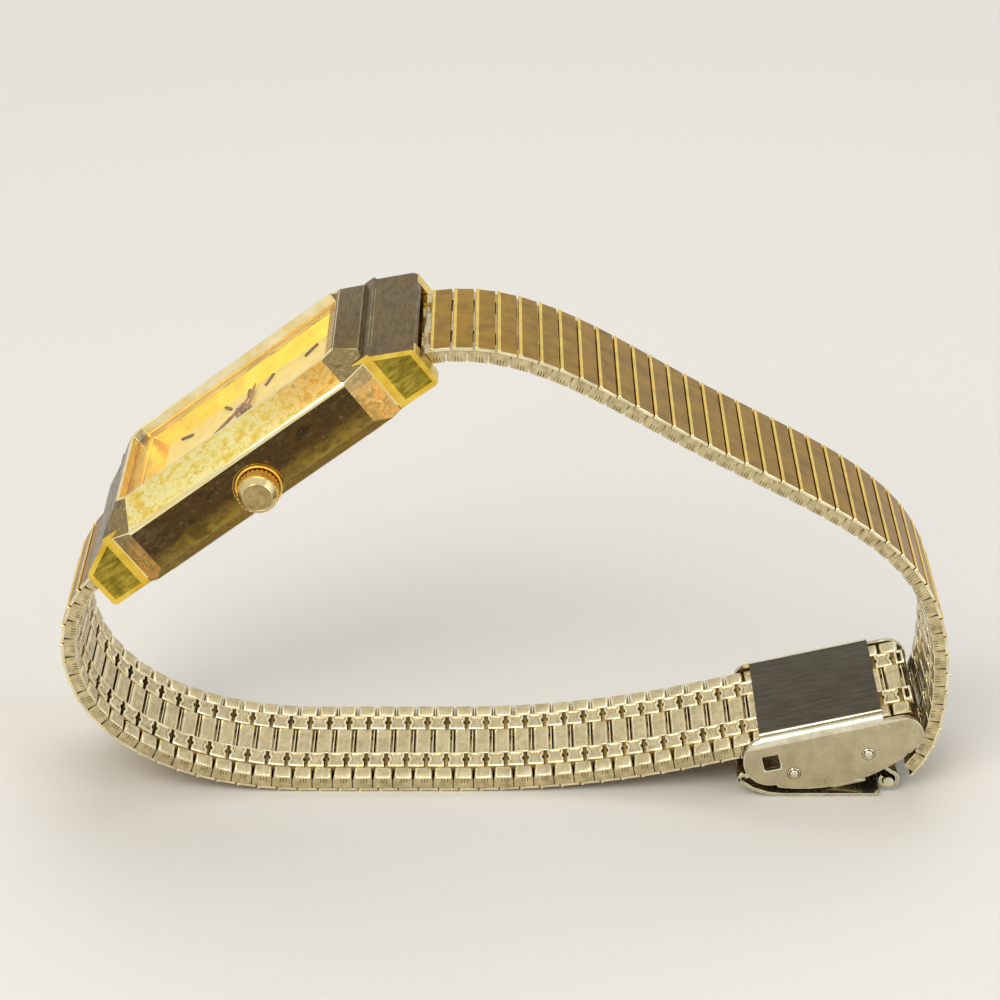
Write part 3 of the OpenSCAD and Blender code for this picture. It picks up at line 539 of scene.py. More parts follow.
def add_box(bm, x, y, z):
    """Adds a box from pairs of low and high places, and gives back its faces."""
    made = bmesh.ops.create_cube(bm, size=1.0)["verts"]
    bmesh.ops.scale(bm, vec=(x[1] - x[0], y[1] - y[0], z[1] - z[0]), verts=made)
    at = (sum(x) / 2, sum(y) / 2, sum(z) / 2)
    bmesh.ops.translate(bm, vec=at, verts=made)
    return faces_of(made)


def add_pin(bm, x, z, radius, depth, segments):
    """Adds a round pin or bar that lies across the strap, and gives back its faces."""
    made = bmesh.ops.create_cone(
        bm, cap_ends=True, segments=segments, radius1=radius, radius2=radius, depth=depth
    )["verts"]
    bmesh.ops.rotate(bm, matrix=TO_CROWN.to_3x3(), verts=made)
    bmesh.ops.translate(bm, vec=(x, 0, z), verts=made)
    return faces_of(made)


def drawn_out(bm, corners, depth):
    """A flat outline of places and corner radii, drawn out by a vector. Gives back its faces."""
    before = set(bm.faces)
    verts = [bm.verts.new(point) for point, _ in corners]
    bm.faces.new(verts)
    for vert, (_, radius) in zip(verts, corners):
        if radius:
            bmesh.ops.bevel(
                bm,
                geom=[vert],
                offset=radius,
                affect="VERTICES",
                segments=4,
                profile=0.5,
                material=-1,
            )
    moved_out(bm, [f for f in bm.faces if f not in before], depth)
    made = [f for f in bm.faces if f not in before]
    bmesh.ops.recalc_face_normals(bm, faces=made)
    return made


def sharp_edges(bm, angle=28.0):
    limit = math.radians(angle)
    return [e for e in bm.edges if len(e.link_faces) == 2 and e.calc_face_angle(0) > limit]


def clear_edges(bm, angle):
    """The edges that can be rounded: sharper than the angle and away from tiny steps."""
    tiny = {v for e in bm.edges if e.calc_length() < TINY_STEP for v in e.verts}
    return [e for e in sharp_edges(bm, angle) if not tiny.intersection(e.verts)]


def soften(bm, offset, segments, edges):
    """Rounds edges and gives back the new faces."""
    return bmesh.ops.bevel(
        bm,
        geom=list(edges),
        offset=offset,
        offset_type="OFFSET",
        affect="EDGES",
        segments=segments,
        profile=0.5,
        clamp_overlap=False,
        material=-1,
    )["faces"]


def cut(bm, faces, at, normal, near=1e-4):
    """Cuts faces along a plane and gives back their parts."""
    made = bmesh.ops.bisect_plane(
        bm,
        geom=list(dict.fromkeys(g for f in faces for g in (f, *f.edges, *f.verts))),
        plane_co=at,
        plane_no=normal,
        dist=near,
    )["geom"]
    return [g for g in made if isinstance(g, bmesh.types.BMFace)]


def spun(bm, profile, segments):
    """A profile of radius and height pairs spun round Z, its poles closed."""
    verts = [bm.verts.new((r, 0, z)) for r, z in profile]
    edges = [bm.edges.new(pair) for pair in zip(verts, verts[1:])]
    bmesh.ops.spin(
        bm,
        geom=verts + edges,
        cent=(0, 0, 0),
        axis=(0, 0, 1),
        angle=math.tau,
        steps=segments,
        use_merge=True,
    )


def merged_copy(node, matrix):
    """A copy of a CAD node in its own frame in millimetres, its loose triangles merged into faces."""
    bm = bmesh.new()
    bm.from_mesh(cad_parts[node].data)
    bm.transform(matrix.inverted())
    bmesh.ops.remove_doubles(bm, verts=bm.verts, dist=0.001)
    bmesh.ops.dissolve_limit(
        bm,
        angle_limit=math.radians(1.0),
        use_dissolve_boundaries=False,
        verts=bm.verts,
        edges=bm.edges,
        delimit=set(),
    )
    return bm


def finish_piece(name, bm, matrix, finishes, body, node):
    """Places a mesh, makes it a piece that rides on its body, and hides the node that it stands for."""
    bmesh.ops.remove_doubles(bm, verts=bm.verts, dist=0.0004)
    bm.transform(matrix)
    bmesh.ops.recalc_face_normals(bm, faces=bm.faces)
    for face in bm.faces:
        face.smooth = True
    for edge in bm.edges:
        flat = any(len(f.verts) > FLAT_CORNERS for f in edge.link_faces)
        edge.smooth = not flat and edge.calc_face_angle(0) < math.radians(SHARP)
    mesh = bpy.data.meshes.new(name)
    bm.to_mesh(mesh)
    bm.free()
    for finish in finishes:
        mesh.materials.append(FINISHES[finish])
    piece = bpy.data.objects.new(name, mesh)
    bpy.context.scene.collection.objects.link(piece)
    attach(piece, body)
    if node:
        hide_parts(node)


def softened_copy(node, name, offset, finish, body):
    """A small gilt piece of the dial: its CAD node with softened edges."""
    bm = merged_copy(node, HEAD)
    soften(bm, offset, 1, sharp_edges(bm))
    finish_piece(name, bm, HEAD, [finish], body, node)


def dress(finish, *nodes):
    """Gives CAD nodes a finish."""
    for node in nodes:
        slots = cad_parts[node].data.materials
        if not slots:
            slots.append(None)
        for i in range(len(slots)):
            slots[i] = FINISHES[finish]


# Case

# Finishes of the worn case, by their place in its list
BEVEL, FLANK, HOOD, EDGE, LUG, PANEL, BASE, CORNER, RIDGE = range(9)
CASE_FINISHES = [
    "worn_gold_plate",
    "tarnished_flank_plate",
    "scratched_dark_hood",
    "gold_rim_and_edge_highlight",
    "lug_gold_plate",
    "dirty_lug_panel",
    "brushed_back_steel",
    "tarnished_corner_plate",
    "dull_gold_ridge",
]
# Where the lugs begin, how far their sides are from the middle, and where the hoods begin
LUG_X = 15.6
LUG_SIDE = 9.2
HOOD_X = 13.0
# Borders of the sunk panel in a lug's side: a place in X and Z and the way that the cut faces
PANEL_BORDERS = (
    ((LUG_X, 0), (1, 0)),
    ((0, 6.25), (0, 1)),
    ((16.05, 0), (1, 0)),
    ((19.2, 0), (1, 0)),
    ((0, 0.8), (0, 1)),
    ((19.48, 4.05), (0.447, 0.894)),
)
PANEL_DEPTH = 0.09


class WATCH_OT_case(bpy.types.Operator):
    """Make the worn case with its hoods and panelled lugs, and dress its back."""

    bl_idname = "watch.case"
    bl_label = "Case"

    def execute(self, context):
        sizes = context.scene.watch_case
        bm = merged_copy("case_body", HEAD)
        # The lugs' ends are rounded off, then their sides are cut along the borders of sunk panels
        reach = max(abs(v.co.x) for v in bm.verts) - 0.02
        corners = [e for e in sharp_edges(bm) if min(abs(v.co.x) for v in e.verts) > reach]
        corners = [e for e in corners if abs((e.verts[0].co - e.verts[1].co).normalized().y) > 0.9]
        soften(bm, sizes.lug_round / MM, 3, corners)
        bm.normal_update()
        for y in (-STRAP_HALF - 0.2, STRAP_HALF + 0.2):
            ends = [f for f in bm.faces if abs(middle(f).x) > 16 and abs(f.normal.x) > 0.9]
            cut(bm, ends, (0, y, 0), (0, 1, 0))
        for end in (-1, 1):
            for (x, z), (along, up) in PANEL_BORDERS:
                sides = [f for f in bm.faces if abs(abs(middle(f).y) - LUG_SIDE) < 0.01]
                sides = [f for f in sides if middle(f).x * end > 15]
                cut(bm, sides, (x * end, 0, z), (along * end, 0, up))
        bm.normal_update()
        for face in bm.faces:
            face.material_index = self.finish_of(face)
        long_edges = [e for e in bm.edges if e.calc_length() > 8]
        long_edges = [
            e for e in long_edges if all(abs(v.co.y) > CASE_W / 2 - 0.1 and v.co.z > 3 for v in e.verts)
        ]
        # The long rounded edges between the bevel and the side walls take the bright gold as a painted
        # highlight
        paint(soften(bm, sizes.long_edge / MM, 3, long_edges), EDGE)
        for face in soften(bm, sizes.edge / MM / 2, 2, clear_edges(bm, 20.0)):
            face.material_index = self.edge_finish_of(face)
        bm.normal_update()
        panels = [f for f in bm.faces if abs(f.normal.y) > 0.99 and f.calc_area() > 6]
        panels = [f for f in panels if abs(middle(f).y) > LUG_SIDE - 0.1 and abs(middle(f).x) > 16.1]
        bmesh.ops.inset_individual(
            bm, faces=panels, thickness=0.05, depth=-PANEL_DEPTH, use_even_offset=True
        )
        paint(panels, PANEL)
        finish_piece("worn_case", bm, HEAD, CASE_FINISHES, "head", "case_body")
        dress("brushed_back_steel", "case_back")
        dress("gasket_rubber", "back_gasket")
        return {"FINISHED"}

    @staticmethod
    def finish_of(face):
        """The finish of a face of the case, from where it is and which way it looks."""
        centre, normal = middle(face), face.normal
        x, y = abs(centre.x), abs(centre.y)
        if normal.z < -0.9:
            return BASE
        if x > LUG_X and y > STRAP_HALF + 0.1 and normal.z < 0.3:
            return LUG
        if x > 14 and y > LUG_SIDE - 0.1 and abs(normal.y) > 0.9:
            return LUG
        if x < 11.5 and y < 7.7 and abs(normal.z) < 0.3:
            return EDGE
        if x > HOOD_X and abs(normal.y) < 0.2:
            return HOOD
        if abs(normal.y) > 0.95 and y > 10 or normal.z < -0.3:
            return FLANK
        if x > 10.5 and 0.3 < abs(normal.y) < 0.95 and abs(normal.x) > 0.2:
            return CORNER
        if normal.z > 0.9:
            return EDGE
        if abs(normal.x) > 0.9 and x > 11:
            return LUG
        return BEVEL

    @staticmethod
    def edge_finish_of(face):
        """The finish of a rounded edge: dull along the hoods, bright elsewhere: the lug plate on the
        lugs, a painted highlight on the rest.
        """
        centre = middle(face)
        x, y = abs(centre.x), abs(centre.y)
        if centre.z < 2 and x < LUG_X:
            return RIDGE
        if x > HOOD_X + 0.2 and y < STRAP_HALF + 2 and centre.z > 3:
            return RIDGE
        return LUG if x > LUG_X else EDGE


class WATCH_OT_dial(bpy.types.Operator):
    """Make the chamfered crystal and the batons, and dress the surround, dial and gasket."""

    bl_idname = "watch.dial"
    bl_label = "Crystal and Dial"

    def execute(self, context):
        bm = merged_copy("crystal", HEAD)
        top = max(v.co.z for v in bm.verts)
        edges = [e for e in bm.edges if all(v.co.z > top - 0.01 for v in e.verts)]
        soften(bm, context.scene.watch_case.glass_edge / MM, 2, edges)
        finish_piece("chamfered_crystal", bm, HEAD, ["clear_crystal"], "head", "crystal")
        softened_copy("hour_markers", "dial_batons", 0.04, "brown_gilt", "head")
        dress("gilt_surround", "crystal_gasket", "dial_surround")
        dress("cream_dial_lacquer", "dial")
        return {"FINISHED"}


class WATCH_OT_hands(bpy.types.Operator):
    """Make the two thin hands with softened edges."""

    bl_idname = "watch.hands"
    bl_label = "Hands"

    def execute(self, context):
        softened_copy("hour_hand", "skeleton_hour_hand", 0.025, "hand_gilt", "hour")
        softened_copy("minute_hand", "long_minute_hand", 0.025, "hand_gilt", "minute")
        return {"FINISHED"}


# Radius and height of the crown from the case outwards, and of the lip round its recess
CROWN_PROFILE = (
    (0.0, 0.0), (1.7, 0.0), (1.82, 0.08), (1.89, 0.2), (1.89, 1.62), (1.84, 1.72), (1.6, 2.0),
    (1.46, 2.26), (1.4, 2.32), (1.34, 2.32), (1.28, 2.28), (1.0, 2.37), (0.5, 2.49), (0.0, 2.53),
)
LIP_PROFILE = ((2.0, -0.3), (2.0, 0.0), (2.08, 0.06), (2.18, 0.05), (2.24, -0.02), (2.24, -0.3))
FLUTE_DEPTH = 0.07


class WATCH_OT_crown(bpy.types.Operator):
    """Make the fluted crown with its turned face, and the lip of its recess."""

    bl_idname = "watch.crown"
    bl_label = "Crown"

    def execute(self, context):
        bm = bmesh.new()
        spun(bm, CROWN_PROFILE, context.scene.watch_case.knurls * 2)
        bm.normal_update()
        # The turned face gets its own finish, and the chamfer round it a pale painted highlight
        for face in bm.faces:
            at = middle(face)
            on_face = at.z > 2.26 and at.xy.length < 1.4
            face.material_index = 1 if on_face else 2 if at.z > 1.6 else 0
        flanks = [f for f in bm.faces if 0.5 < middle(f).z < 1.5]
        flanks.sort(key=lambda f: math.atan2(middle(f).y, middle(f).x))
        bmesh.ops.inset_individual(bm, faces=flanks[::2], thickness=0.01, depth=-FLUTE_DEPTH)
        place = HEAD @ Matrix.Translation((0, CROWN_Y, STEM_H)) @ TO_CROWN
        finishes = ["crown_gold", "crown_face_gold", "crown_rim_highlight"]
        finish_piece("fluted_crown", bm, place, finishes, "crown", "crown")
        bm = bmesh.new()
        spun(bm, LIP_PROFILE, 48)
        wall = HEAD @ Matrix.Translation((0, -CASE_W / 2, STEM_H)) @ TO_CROWN
        finish_piece("crown_recess_lip", bm, wall, ["crown_gold"], "head", None)
        dress("turned_steel", "stem")
        dress("gasket_rubber", "crown_gasket")
        return {"FINISHED"}


class WATCH_OT_movement(bpy.types.Operator):
    """Dress the wheels, plates, cell and coil of the movement, and the spring bars."""

    bl_idname = "watch.movement"
    bl_label = "Movement"

    def execute(self, context):
        dress("brass_wheel", "hour_wheel", "centre_wheel", "minute_wheel", "third_wheel")
        dress("turned_steel", "cannon_pinion", "stator", "movement_plate", "train_bridge")
        dress("turned_steel", "battery_clip", "spring_bar_12", "spring_bar_6")
        dress("cell_steel", "battery")
        dress("magnet_alloy", "rotor")
        dress("wound_copper_wire", "coil")
        dress("board_lacquer", "circuit_board")
        dress("moulded_holder", "movement_holder")
        return {"FINISHED"}


# Strap; a link is drawn with its own pin at X 0, the next pin at X PITCH and its outer side up

# Finishes of the links, by their place in the list
CAP_FLAT, CAP_RIB, STEEL, FOLD, CREVICE_SHADE = range(5)
LINK_FINISHES = [
    "satin_gold_cap",
    "polished_gold_rib",
    "folded_link_steel",
    "fold_steel_and_highlight",
    "link_crevice_shade",
]
# Middle and half width of a bracket, and the depth of its waist
BRACKET_Y = 3.58
BRACKET_HALF = 1.3
WAIST = 0.15
# Grooves between the folds of an edge block: their first place, spacing, width and depth
FOLD_START = 0.28
FOLD_STEP = 0.27
FOLD_GAP = 0.07
FOLD_DEPTH = 0.1


def round_under(bm, made, width, segments):
    """Rounds the rim of a folded part's flat on the wrist side, where its sheet turns over, and paints
    it in the lighter fold steel as a painted highlight.
    """
    under = [f for f in made if f.normal.z < -0.9][0]
    paint(soften(bm, width, segments, under.edges), FOLD)


def add_cap(bm, sizes):
    """The outer cap of a link: a satin flat with a polished rib on the side of its own pin."""
    rib, flat = sizes.rib / MM, STRAP_OUT - sizes.rib_rise / MM
    x0, x1 = 0.075, PITCH - 0.045
    outline = [
        (x0, BODY_OUT + 0.01, 0),
        (x0, STRAP_OUT, 0.09),
        (x0 + rib, STRAP_OUT, 0.07),
        (x0 + rib + 0.03, flat, 0),
        (x1, flat, 0.06),
        (x1, BODY_OUT + 0.01, 0),
    ]
    made = drawn_out(bm, [((x, -STRAP_HALF, z), r) for x, z, r in outline], (0, 2 * STRAP_HALF, 0))
    # The cap's inner face, seen through the slots, is painted dark as painted shade
    for face in made:
        if abs(face.normal.y) > 0.5:
            face.material_index = FOLD
        elif face.normal.z < -0.5:
            face.material_index = CREVICE_SHADE
        else:
            on_rib = middle(face).x < x0 + rib + 0.02
            face.material_index = CAP_RIB if on_rib else CAP_FLAT
    # The cap's rounded rims take the lighter fold steel as a painted highlight
    rims = [e for f in made if abs(f.normal.y) > 0.5 for e in f.edges]
    rims = [e for e in rims if min(v.co.z for v in e.verts) > flat - 0.01]
    paint(soften(bm, 0.05, 1, rims), FOLD)


def add_edge_block(bm, side, folds, first):
    """A block of the edge row: sheet folded round the link's own pin, drawn in towards the middle."""
    outline = [(-0.47, 0.53, 0), (1.42, 0.54, 0), (1.42, -0.42, 0), (1.26, -BODY_IN, 0)]
    outline += [(-0.32, -BODY_IN, 0), (-0.47, -0.42, 0)]
    if first:
        # The first link has a round knuckle about the spring bar
        outline[0] = (-0.9, 0.5, 0.35)
        outline[-2:] = [(0.3, -BODY_IN, 0.2), (-0.3, -0.9, 0.3), (-0.92, -0.5, 0.4)]
    before = set(bm.faces)
    made = drawn_out(bm, [((x, side * 5.0, z), r) for x, z, r in outline], (0, side * 2.0, 0))
    paint(made, STEEL)
    for vert in {v for f in made for v in f.verts}:
        if abs(vert.co.y) < 5.01 and vert.co.z < 0.2:
            vert.co.x = 0.47 + (vert.co.x - 0.47) * 0.9
    if not first:
        round_under(bm, made, 0.14, 3)
    bm.normal_update()
    outer = [f for f in bm.faces if f not in before and f.normal.y * side > 0.9]
    # The sheet's folds show on the side as short narrow grooves, painted dark as painted shade
    strips = [max(outer, key=lambda f: f.calc_area())]
    lines = [FOLD_START + FOLD_STEP * i for i in range(folds)]
    for x in lines:
        for width in (0.0, FOLD_GAP):
            strips = cut(bm, strips, (x + width, 0, 0), (1, 0, 0.1), 1e-5)
    grooves = []
    for face in cut(bm, strips, (0, 0, -0.05), (0, 0, 1), 1e-5):
        at = middle(face)
        if at.z < -0.1 and any(0 < at.x + at.z * 0.1 - x < FOLD_GAP for x in lines):
            grooves.append(face)
    bmesh.ops.inset_individual(bm, faces=grooves, thickness=0.002, depth=-FOLD_DEPTH)
    paint(grooves, CREVICE_SHADE)


def add_plate(bm, first):
    """The wide middle plate of a link, and the fold that stands in the slot before the next."""
    back = -0.9 if first else -0.42
    outline = [(back, 0.5), (1.12, 0.54), (1.12, -0.5), (0.98, -BODY_IN)]
    outline += [(back + 0.16, -BODY_IN), (back, -0.5)]
    before = set(bm.faces)
    made = drawn_out(bm, [((x, -2.25, z), 0) for x, z in outline], (0, 4.5, 0))
    paint(made, STEEL)
    round_under(bm, made, 0.08, 2)
    # The sheet's own joint runs along the plate as a narrow groove
    bm.normal_update()
    strips = [f for f in bm.faces if f not in before and f.normal.z < -0.95]
    for x in (0.1, 0.18):
        strips = cut(bm, strips, (x, 0, 0), (1, 0, 0), 1e-5)
    groove = [f for f in strips if f.normal.z < -0.95 and 0.1 < middle(f).x < 0.18]
    bmesh.ops.inset_individual(bm, faces=groove, thickness=0.004, depth=-0.04)
    paint(add_box(bm, (1.3, 1.4), (-2.1, 2.1), (-0.6, 0.5)), FOLD)


def add_bracket(bm, side):
    """A bracket that bridges two links on the wrist side, waisted, with a shallow dimple."""
    x0, x1 = 0.9, PITCH + 0.54
    half = [(0, -BRACKET_HALF), (0, -0.42), (WAIST, -0.24)]
    half += [(x, -y) for x, y in reversed(half)]
    outline = [(x1 - x, y) for x, y in half] + [(x0 + x, -y) for x, y in half]
    before = set(bm.faces)
    outline = [((x, side * BRACKET_Y + y, 0.18), 0) for x, y in outline[-1:] + outline[:-1]]
    made = drawn_out(bm, outline, (0, 0, -0.93))
    paint(made, STEEL)
    round_under(bm, made, 0.09, 2)
    bm.normal_update()
    low = [f for f in bm.faces if f not in before and f.normal.z < -0.99]
    low = [max(low, key=lambda f: f.calc_area())]
    # The rails round the dimple take the lighter fold steel as a painted highlight
    rims = bmesh.ops.inset_region(bm, faces=low, thickness=0.16, use_even_offset=True)["faces"]
    paint(rims, FOLD)
    walls = bmesh.ops.inset_region(bm, faces=low, thickness=0.1, depth=-0.1, use_even_offset=True)
    paint(walls["faces"] + low, STEEL)


def add_tail_loop(bm, side):
    """The open loop at the strap's tail: a folded frame round an oblong slot."""
    mid = side * BRACKET_Y
    span = (mid - 1.28, mid + 1.28)
    made = add_box(bm, (0.92, 1.16), span, (-0.74, 0.3))
    made |= add_box(bm, (1.54, 1.79), span, (-0.74, 0.0))
    for y in (mid - 1.28, mid + 0.86):
        made |= add_box(bm, (1.1, 1.6), (y, y + 0.42), (-0.73, -0.1))
    paint(made, FOLD)
    paint(soften(bm, 0.06, 2, {e for f in made for e in f.edges}), FOLD)


def link_template(sizes, first, last):
    """The mesh of one link, with a map of its X and of its Y and Z for the finishes that follow it."""
    bm = bmesh.new()
    if not first:
        add_cap(bm, sizes)
    add_plate(bm, first)
    for side in (-1, 1):
        add_edge_block(bm, side, sizes.folds, first)
        if last:
            add_tail_loop(bm, side)
        else:
            add_bracket(bm, side)
        # A dark box in the slot between the plate and each edge block is painted shade
        paint(add_box(bm, (0.92, 1.28), sorted((side * 2.32, side * 4.78)), (0.1, 0.53)), CREVICE_SHADE)
    paint(add_box(bm, (0.72 if first else 0.02, 1.28), (-6.9, 6.9), (0.41, 0.56)), STEEL)
    if first:
        paint([f for f in bm.faces if middle(f).z > 0.3 or middle(f).x < 0], CAP_RIB)
    if not last:
        paint(add_pin(bm, PITCH, 0, 0.25, 12.8, 12), STEEL)
    bmesh.ops.recalc_face_normals(bm, faces=bm.faces)
    layer = bm.loops.layers.uv.new("links")
    for face in bm.faces:
        for loop in face.loops:
            loop[layer].uv = (loop.vert.co.x, loop.vert.co.y + loop.vert.co.z)
    mesh = bpy.data.meshes.new("link_template")
    bm.to_mesh(mesh)
    bm.free()
    return mesh


class WATCH_OT_strap(bpy.types.Operator):
    """Make the two strands of hinged links, run by run."""

    bl_idname = "watch.strap"
    bl_label = "Link Strap"

    def execute(self, context):
        sizes = context.scene.watch_strap
        templates = {
            "first": link_template(sizes, True, False),
            "middle": link_template(sizes, False, False),
            "last": link_template(sizes, False, True),
        }
        for tag, pins, runs, outside in (
            ("12", strand_12(), RUNS_12, 1),
            ("6", strand_6(), RUNS_6, -1),
        ):
            count = len(pins) - 1
            for run in range(1, runs + 1):
                first = math.floor((run - 1) * count / runs + 0.5)
                after = math.floor(run * count / runs + 0.5)
                node = f"run_{tag}_{run}"
                body = "tail" if tag == "6" and run >= TAIL_RUN else node
                bm = bmesh.new()
                for i in range(first, after):
                    kind = "first" if i == 0 else "last" if i == count - 1 else "middle"
                    self.add_link(bm, templates[kind], pins[i], pins[i + 1], i, outside)
                name = f"links_{tag}_{run}"
                finish_piece(name, bm, WORLD_MM, LINK_FINISHES, body, node)
        for mesh in templates.values():
            bpy.data.meshes.remove(mesh)
        return {"FINISHED"}

    @staticmethod
    def add_link(bm, template, here, there, index, outside):
        """Adds one link between two pins, its part of the map moved on along the strand."""
        verts, faces = len(bm.verts), len(bm.faces)
        bm.from_mesh(template)
        bm.verts.ensure_lookup_table()
        bm.faces.ensure_lookup_table()
        step = there - here
        place = (
            Matrix.Translation((here[0], MID_Y, here[1]))
            @ Matrix.Rotation(-math.atan2(step[1], step[0]), 4, "Y")
            @ Matrix.Diagonal((step.length / PITCH, 1.0, outside, 1.0))
        )
        bmesh.ops.transform(bm, matrix=place, verts=bm.verts[verts:])
        layer = bm.loops.layers.uv["links"]
        for face in bm.faces[faces:]:
            for loop in face.loops:
                loop[layer].uv[0] += index * PITCH


# Clasp

# Radius and height of a rivet's domed head and of the groove and washer round it
RIVET_PROFILE = (
    (0.0, 0.24), (0.16, 0.225), (0.3, 0.18), (0.4, 0.1), (0.42, 0.02), (0.49, 0.02),
    (0.52, 0.07), (0.57, 0.08), (0.62, 0.02), (0.68, 0.02), (0.7, -0.1), (0.0, -0.1),
)
BEND_STEPS = 9
# Half widths of the hook and the lid, the flap's rear half width, and the radius of the lid's lip
HOOK_HALF = 7.05
FLAP_HALF = 7.15
LIP_R = 0.42
# The closed lid's lowest place, and the middle and radius of its long bend
LID_LOW = 0.03
LID_BEND_X = -10.55
LID_BEND_R = 6.8


class WATCH_OT_clasp(bpy.types.Operator):
    """Make the clasp's folded frame and its riveted crossbars."""

    bl_idname = "watch.clasp"
    bl_label = "Clasp Frame"

    def execute(self, context):
        sizes = context.scene.watch_clasp
        bm = merged_copy("clasp_frame", CLASP)
        top = max(v.co.z for v in bm.verts)
        rounds = {f for side in (-1, 1) for f in self.rounded_bend(bm, side, top, sizes.bend_r / MM)}
        bm.normal_update()
        # The rounded bends, and the rims rounded below, are painted in the polished colour as a painted
        # highlight
        for face in bm.faces:
            up = face.normal.z > 0.97 and middle(face).z > top - 0.1
            face.material_index = 2 if face in rounds else 0 if up else 1
        paint(soften(bm, sizes.rim / MM, 2, clear_edges(bm, 40.0)), 2)
        finishes = ["dark_clasp_floor", "satin_clasp_steel", "clasp_polish_and_highlight"]
        finish_piece("folded_clasp_frame", bm, CLASP, finishes, "clasp", "clasp_frame")
        bm = bmesh.new()
        for at in (LEFT_BAR, RIGHT_BAR):
            for side in (-1, 1):
                self.add_rivet(bm, at, side)
            add_pin(bm, *at, 0.5, 15.7, 32)
        finishes = ["clasp_polish_and_highlight", "clasp_groove_shade"]
        node = "clasp_crossbars"
        finish_piece("riveted_crossbars", bm, CLASP, finishes, "clasp", node)
        return {"FINISHED"}

    @staticmethod
    def add_rivet(bm, at, side):
        """Adds the domed head of a bar's end on a side plate, with painted shade in the grooves round
        it.
        """
        before = set(bm.verts)
        spun(bm, RIVET_PROFILE, 32)
        made = [v for v in bm.verts if v not in before]
        # The groove round the dome and the washer's outer step are painted shade
        for face in faces_of(made):
            reach = middle(face).xy.length
            face.material_index = 1 if 0.42 < reach < 0.48 or reach > 0.62 else 0
        turn = Matrix.Rotation(math.radians(-90 * side), 4, "X")
        place = Matrix.Translation((at[0], side * CLASP_HALF, at[1])) @ turn
        bmesh.ops.transform(bm, matrix=place, verts=made)

    @staticmethod
    def rounded_bend(bm, side, top, radius):
        """Rounds the bend from the floor plate to a side plate, whose ends run out in a slope."""
        y, z = side * (CLASP_HALF - radius), top - radius
        for i in range(BEND_STEPS + 1):
            angle = math.radians(90 * i / BEND_STEPS)
            skin = []
            for face in bm.faces:
                flat = face.normal.z > 0.9 and middle(face).z > top - 0.1
                wall = face.normal.y * side > 0.9 and middle(face).y * side > 7.9
                end = any(v.co.y * side > 7.9 and v.co.z > z for v in face.verts)
                if flat or wall or (end and abs(face.normal.y) < 0.2):
                    skin.append(face)
            cut(bm, skin, (0, y, z), (0, side * math.sin(angle), -math.cos(angle)))
            bm.normal_update()
        for vert in bm.verts:
            out = Vector((vert.co.y - y, vert.co.z - z))
            if out[0] * side > -1e-3 and out[1] > -1e-3 and out.length > radius:
                out = out.normalized() * radius
                vert.co.y, vert.co.z = y + out[0], z + out[1]
        bm.normal_update()
        made = set()
        for face in bm.faces:
            out = Vector((middle(face).y - y, middle(face).z - z))
            outside = out[0] * side > 0 and out[1] > 0 and out.length > radius - 0.1
            if outside and abs(face.normal.x) < 0.7:
                made.add(face)
        return made


def arc(x, z, radius, start, end, last=None):
    """Places along an arc in X and Z, from one angle to another, its radius drawn in to the last."""
    steps = max(2, round(abs(end - start) / 12))
    places = []
    for i in range(steps + 1):
        r = radius + ((last or radius) - radius) * i / steps
        places.append(Vector((x, z)) + r * heading(start + (end - start) * i / steps))
    return places


def add_strip(bm, path, sheet, y0, y1):
    """A sheet bent along a path in X and Z, its two outer rims rounded and painted bright as a painted
    highlight.
    """
    before = set(bm.faces)
    sides = []
    for i, point in enumerate(path):
        along = (path[min(i + 1, len(path) - 1)] - path[max(i - 1, 0)]).normalized()
        side = Vector((-along[1], along[0])) * sheet / 2
        sides.append([bm.verts.new((p[0], y0, p[1])) for p in (point + side, point - side)])
    faces = [bm.faces.new((a[0], b[0], b[1], a[1])) for a, b in zip(sides, sides[1:])]
    moved_out(bm, faces, (0, y1 - y0, 0))
    made = [f for f in bm.faces if f not in before]
    bmesh.ops.recalc_face_normals(bm, faces=made)
    edges = {e for f in made for e in f.edges if e.calc_face_angle(0) > math.radians(60)}
    paint(soften(bm, sheet * 0.22, 2, edges), 1)


